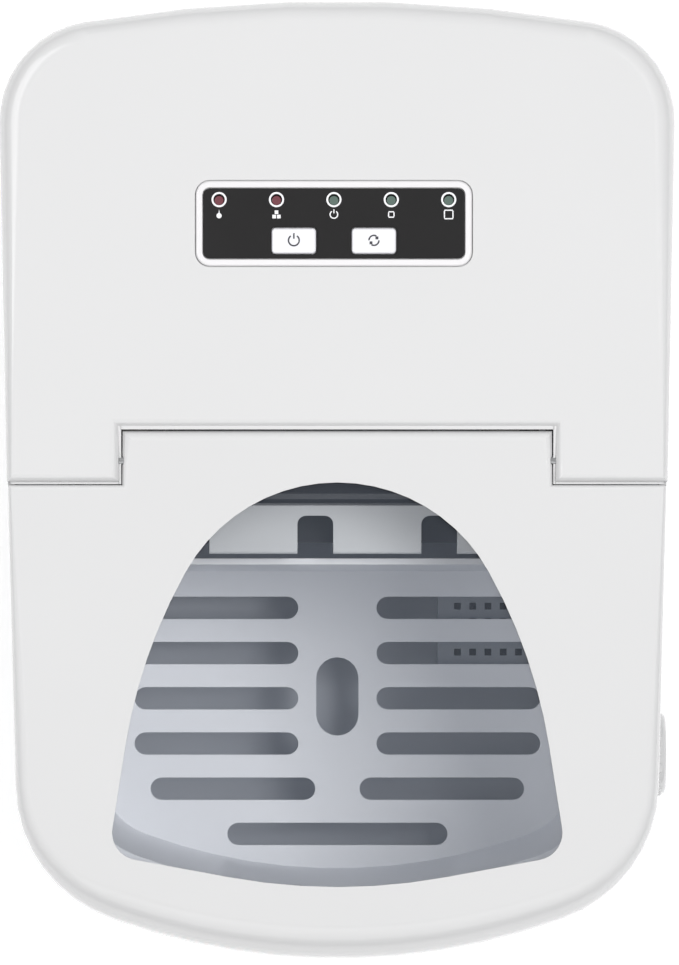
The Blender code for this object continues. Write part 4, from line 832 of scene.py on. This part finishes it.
@dataclass
class ControlPanel:
    """Bezel, black face, lenses with their printed rings and signs, and the two keys."""

    slope: float = math.radians(2.4)
    print_height: float = 0.00005
    ring: tuple[float, float] = (0.00205, 0.0027)
    sign_drop: float = 0.0053
    sign_size: float = 0.0031
    key_sign_size: float = 0.0044
    lenses: dict[str, tuple[Palette, Pictogram]] = field(default_factory=lambda: {
        "add_water_lens": (Palette.LENS_RED, Pictogram.DROP),
        "ice_full_lens": (Palette.LENS_RED, Pictogram.FULL),
        "power_lens": (Palette.LENS_GREEN, Pictogram.POWER),
        "small_ice_lens": (Palette.LENS_GREEN, Pictogram.SMALL),
        "large_ice_lens": (Palette.LENS_GREEN, Pictogram.LARGE)})
    keys: dict[str, tuple[str, Pictogram]] = field(default_factory=lambda: {
        "on_off_button": ("on_off_key", Pictogram.POWER), "select_button": ("select_key", Pictogram.CHANGE)})

    def build(self) -> list[bpy.types.Object]:
        """Dresses the panel.

        Returns:
            Its pieces.
        """
        pieces = [refine("control_bezel", Palette.BEZEL, "root", 0.0002),
                  refine("control_face", Palette.FACE, "root", 0.0),
                  refine("control_board", Palette.BOARD, "root", 0.0)]
        face_low, face_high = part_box("control_face")
        middle_y = (face_low[1] + face_high[1]) / 2

        def on_face(x: float, y: float) -> Matrix:
            """The frame of a print on the face at x, y."""
            back = (face_high[1] - y) * math.tan(self.slope)
            return Matrix.Translation((x, y, face_high[2] - back)) @ Matrix.Rotation(self.slope, 4, "X")

        for lens, (finish, sign) in self.lenses.items():
            low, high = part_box(lens)
            pieces.append(refine(lens, finish, "root", 0.0003))
            x = (low[0] + high[0]) / 2
            y = high[1] - (high[0] - low[0]) / 2
            pieces.append(self.print_piece(lens + "_ring", Palette.PRINT, "root", on_face(x, y),
                                           lambda form: draw_ring(form, *self.ring)))
            pieces.append(self.print_piece(lens + "_sign", Palette.PRINT, "root",
                                           on_face(x, y - self.sign_drop),
                                           lambda form, drawn=sign: drawn.draw(form, self.sign_size)))
        for key, (body, sign) in self.keys.items():
            low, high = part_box(key)
            pieces.append(refine(key, Palette.BUTTON, body, 0.0002))
            y = (low[1] + high[1]) / 2
            top = high[2] - (high[1] - y) * math.tan(self.slope) + 0.00004
            place = Matrix.Translation(((low[0] + high[0]) / 2, y, top)) @ Matrix.Rotation(self.slope, 4, "X")
            pieces.append(self.print_piece(key + "_sign", Palette.INK, body, place,
                                           lambda form, drawn=sign: drawn.draw(form, self.key_sign_size)))
        LOG.info("panel middle at y %.4f", middle_y)
        return pieces

    def print_piece(self, name: str, finish: Palette, body: str, place: Matrix,
                    draw: Callable[[bmesh.types.BMesh], None]) -> bpy.types.Object:
        """A thin raised print.

        Args:
            name: The piece's name.
            finish: Its ink.
            body: The body that it moves with.
            place: Its place on the surface.
            draw: Draws it, flat.

        Returns:
            The print.
        """
        def raised(form: bmesh.types.BMesh) -> None:
            """The flat drawing, given its thickness."""
            draw(form)
            thicken(form, self.print_height)

        return form_piece(name, finish, body, raised, place)


@dataclass
class WetSide:
    """Tub, basket and the parts that make and move the ice."""

    def build(self) -> list[bpy.types.Object]:
        """Dresses the wet side.

        Returns:
            Its pieces.
        """
        return [refine("reservoir_tub", Palette.TUB, "root", 0.0005),
                refine("ice_basket", Palette.BASKET, "basket", 0.0004),
                # The harvest frame and water tray wear the near-black chamber finish: painted shade for the
                # shadowed chamber behind the paddles.
                refine("harvest_frame", Palette.CHAMBER_SHADE, "root", 0.0004),
                refine("ice_pusher", Palette.TRAY_WHITE, "pusher", 0.0004),
                refine("water_tray", Palette.CHAMBER_SHADE, "tray", 0.0004),
                refine("tray_shaft", Palette.STEEL, "tray", 0.0002),
                refine("tray_motor", Palette.BLACK, "root", 0.0006),
                refine("evaporator", Palette.NICKEL, "root", 0.0003),
                refine("evaporator_bracket", Palette.STEEL, "root", 0.0002),
                refine("pump_strainer", Palette.GREY, "root", 0.0),
                refine("water_pump", Palette.BLACK, "root", 0.0004),
                refine("water_hose", Palette.SILICONE, "root", 0.0),
                refine("ice_sensor_left", Palette.BLACK, "root", 0.0004),
                refine("ice_sensor_right", Palette.BLACK, "root", 0.0004),
                refine("foam_jacket", Palette.FOAM, "root", 0.0)]


@dataclass
class CoolingUnit:
    """Compressor, condenser, fan, tubes and boards, behind the tub."""

    tubes: Sequence[str] = ("discharge_tube", "liquid_tube", "capillary_tube", "suction_tube")
    grommets: Sequence[str] = ("grommet_front", "grommet_left", "grommet_right")

    def build(self) -> list[bpy.types.Object]:
        """Dresses the cooling unit.

        Returns:
            Its pieces.
        """
        pieces = [refine("compressor", Palette.CAN, "root", 0.0006),
                  refine("condenser", Palette.FINS, "root", 0.0002),
                  refine("fan_shroud", Palette.BLACK, "root", 0.0004),
                  refine("fan_motor", Palette.CAN, "root", 0.0004),
                  refine("fan_blade", Palette.GREY, "fan", 0.0002),
                  refine("drier_filter", Palette.COPPER, "root", 0.0),
                  refine("power_board", Palette.BOARD, "root", 0.0002)]
        pieces += [refine(tube, Palette.COPPER, "root", 0.0, 60.0) for tube in self.tubes]
        pieces += [refine(grommet, Palette.RUBBER, "root", 0.0003) for grommet in self.grommets]
        return pieces


@dataclass
class Studio:
    """Pale floor, soft lamps, world and the camera above the machine."""

    camera_height: float = 4.3
    picture_height: float = 0.3469
    focus_height: float = 0.30
    centre: tuple[float, float] = (0.0008, 0.0)
    sensor: float = 36.0
    world_light: float = 0.50
    floor_glow: float = 0.34
    horizon: tuple[float, float] = (0.05, 0.75)
    horizon_tone: Colour = (0.16, 0.165, 0.18)

    def build(self) -> None:
        """Makes the floor, lamps, world and camera."""
        self.floor()
        self.lamp("key", (-1.6, 0.6, 2.6), 1.8, 20.0)
        self.lamp("fill", (-0.9, -0.3, 3.0), 1.2, 9.0, mirrored=False)
        self.lamp("front", (0.0, -2.2, 1.8), 1.6, 6.0)
        self.lamp("overhead", (1.00, 0.28, 3.6), 1.2, 80.0, mirrored=False)
        self.world()
        self.camera()

    def floor(self) -> None:
        """A wide pale floor."""
        form = bmesh.new()
        bmesh.ops.create_grid(form, x_segments=1, y_segments=1, size=6.0)
        mesh = bpy.data.meshes.new("floor")
        form.to_mesh(mesh)
        form.free()
        floor = bpy.data.objects.new("floor", mesh)
        bpy.context.scene.collection.objects.link(floor)
        shader = Shader("floor_paper")
        shader.fix(Base_Color=(0.93, 0.93, 0.93, 1.0), Roughness=0.9, Specular_IOR_Level=0.1,
                   Emission_Color=(1.0, 1.0, 1.0, 1.0), Emission_Strength=self.floor_glow)
        mesh.materials.append(shader.material)

    def lamp(self, name: str, place: Sequence[float], size: float, power: float,
             mirrored: bool = True) -> None:
        """A square soft lamp aimed at the machine.

        Args:
            name: Its name.
            place: Where it hangs.
            size: Its side.
            power: Its power in watts.
            mirrored: Whether glossy faces show it.
        """
        data = bpy.data.lights.new(name, "AREA")
        data.size = size
        data.energy = power
        lamp = bpy.data.objects.new(name, data)
        lamp.location = place
        lamp.visible_camera = False
        lamp.visible_glossy = mirrored
        lamp.rotation_euler = (Vector((0.0, 0.0, 0.15)) - Vector(place)).to_track_quat("-Z", "Y").to_euler()
        bpy.context.scene.collection.objects.link(lamp)

    def world(self) -> None:
        """A white sky over a grey horizon, which draws the rounded edges."""
        world = bpy.data.worlds.new("studio")
        world.use_nodes = True
        tree = world.node_tree
        height = tree.nodes.new("ShaderNodeSeparateXYZ")
        ramp = tree.nodes.new("ShaderNodeValToRGB")
        ramp.color_ramp.elements[0].position = self.horizon[0]
        ramp.color_ramp.elements[0].color = (*self.horizon_tone, 1.0)
        ramp.color_ramp.elements[1].position = self.horizon[1]
        ramp.color_ramp.elements[1].color = (1.0, 1.0, 1.0, 1.0)
        direction = tree.nodes.new("ShaderNodeTexCoord")
        tree.links.new(direction.outputs["Generated"], height.inputs[0])
        tree.links.new(height.outputs["Z"], ramp.inputs["Fac"])
        tree.links.new(ramp.outputs["Color"], tree.nodes["Background"].inputs["Color"])
        tree.nodes["Background"].inputs["Strength"].default_value = self.world_light
        bpy.context.scene.world = world

    def camera(self) -> None:
        """A long lens straight above the machine."""
        data = bpy.data.cameras.new("camera")
        data.sensor_width = self.sensor
        data.lens = self.sensor * (self.camera_height - self.focus_height) / self.picture_height
        data.clip_end = 100.0
        camera = bpy.data.objects.new("camera", data)
        camera.location = (*self.centre, self.camera_height)
        bpy.context.scene.collection.objects.link(camera)
        bpy.context.scene.camera = camera
        bpy.context.scene.view_settings.view_transform = "Standard"


def main() -> None:
    """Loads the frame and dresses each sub-assembly."""
    logging.basicConfig(level=logging.INFO, format="%(message)s")
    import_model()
    for unit in (Enclosure(), Lid(), ControlPanel(), WetSide(), CoolingUnit()):
        for piece in unit.build():
            LOG.info("%s: %s, %d faces", type(unit).__name__, piece.name, len(piece.data.polygons))
    Studio().build()


if __name__ == "__main__":
    main()
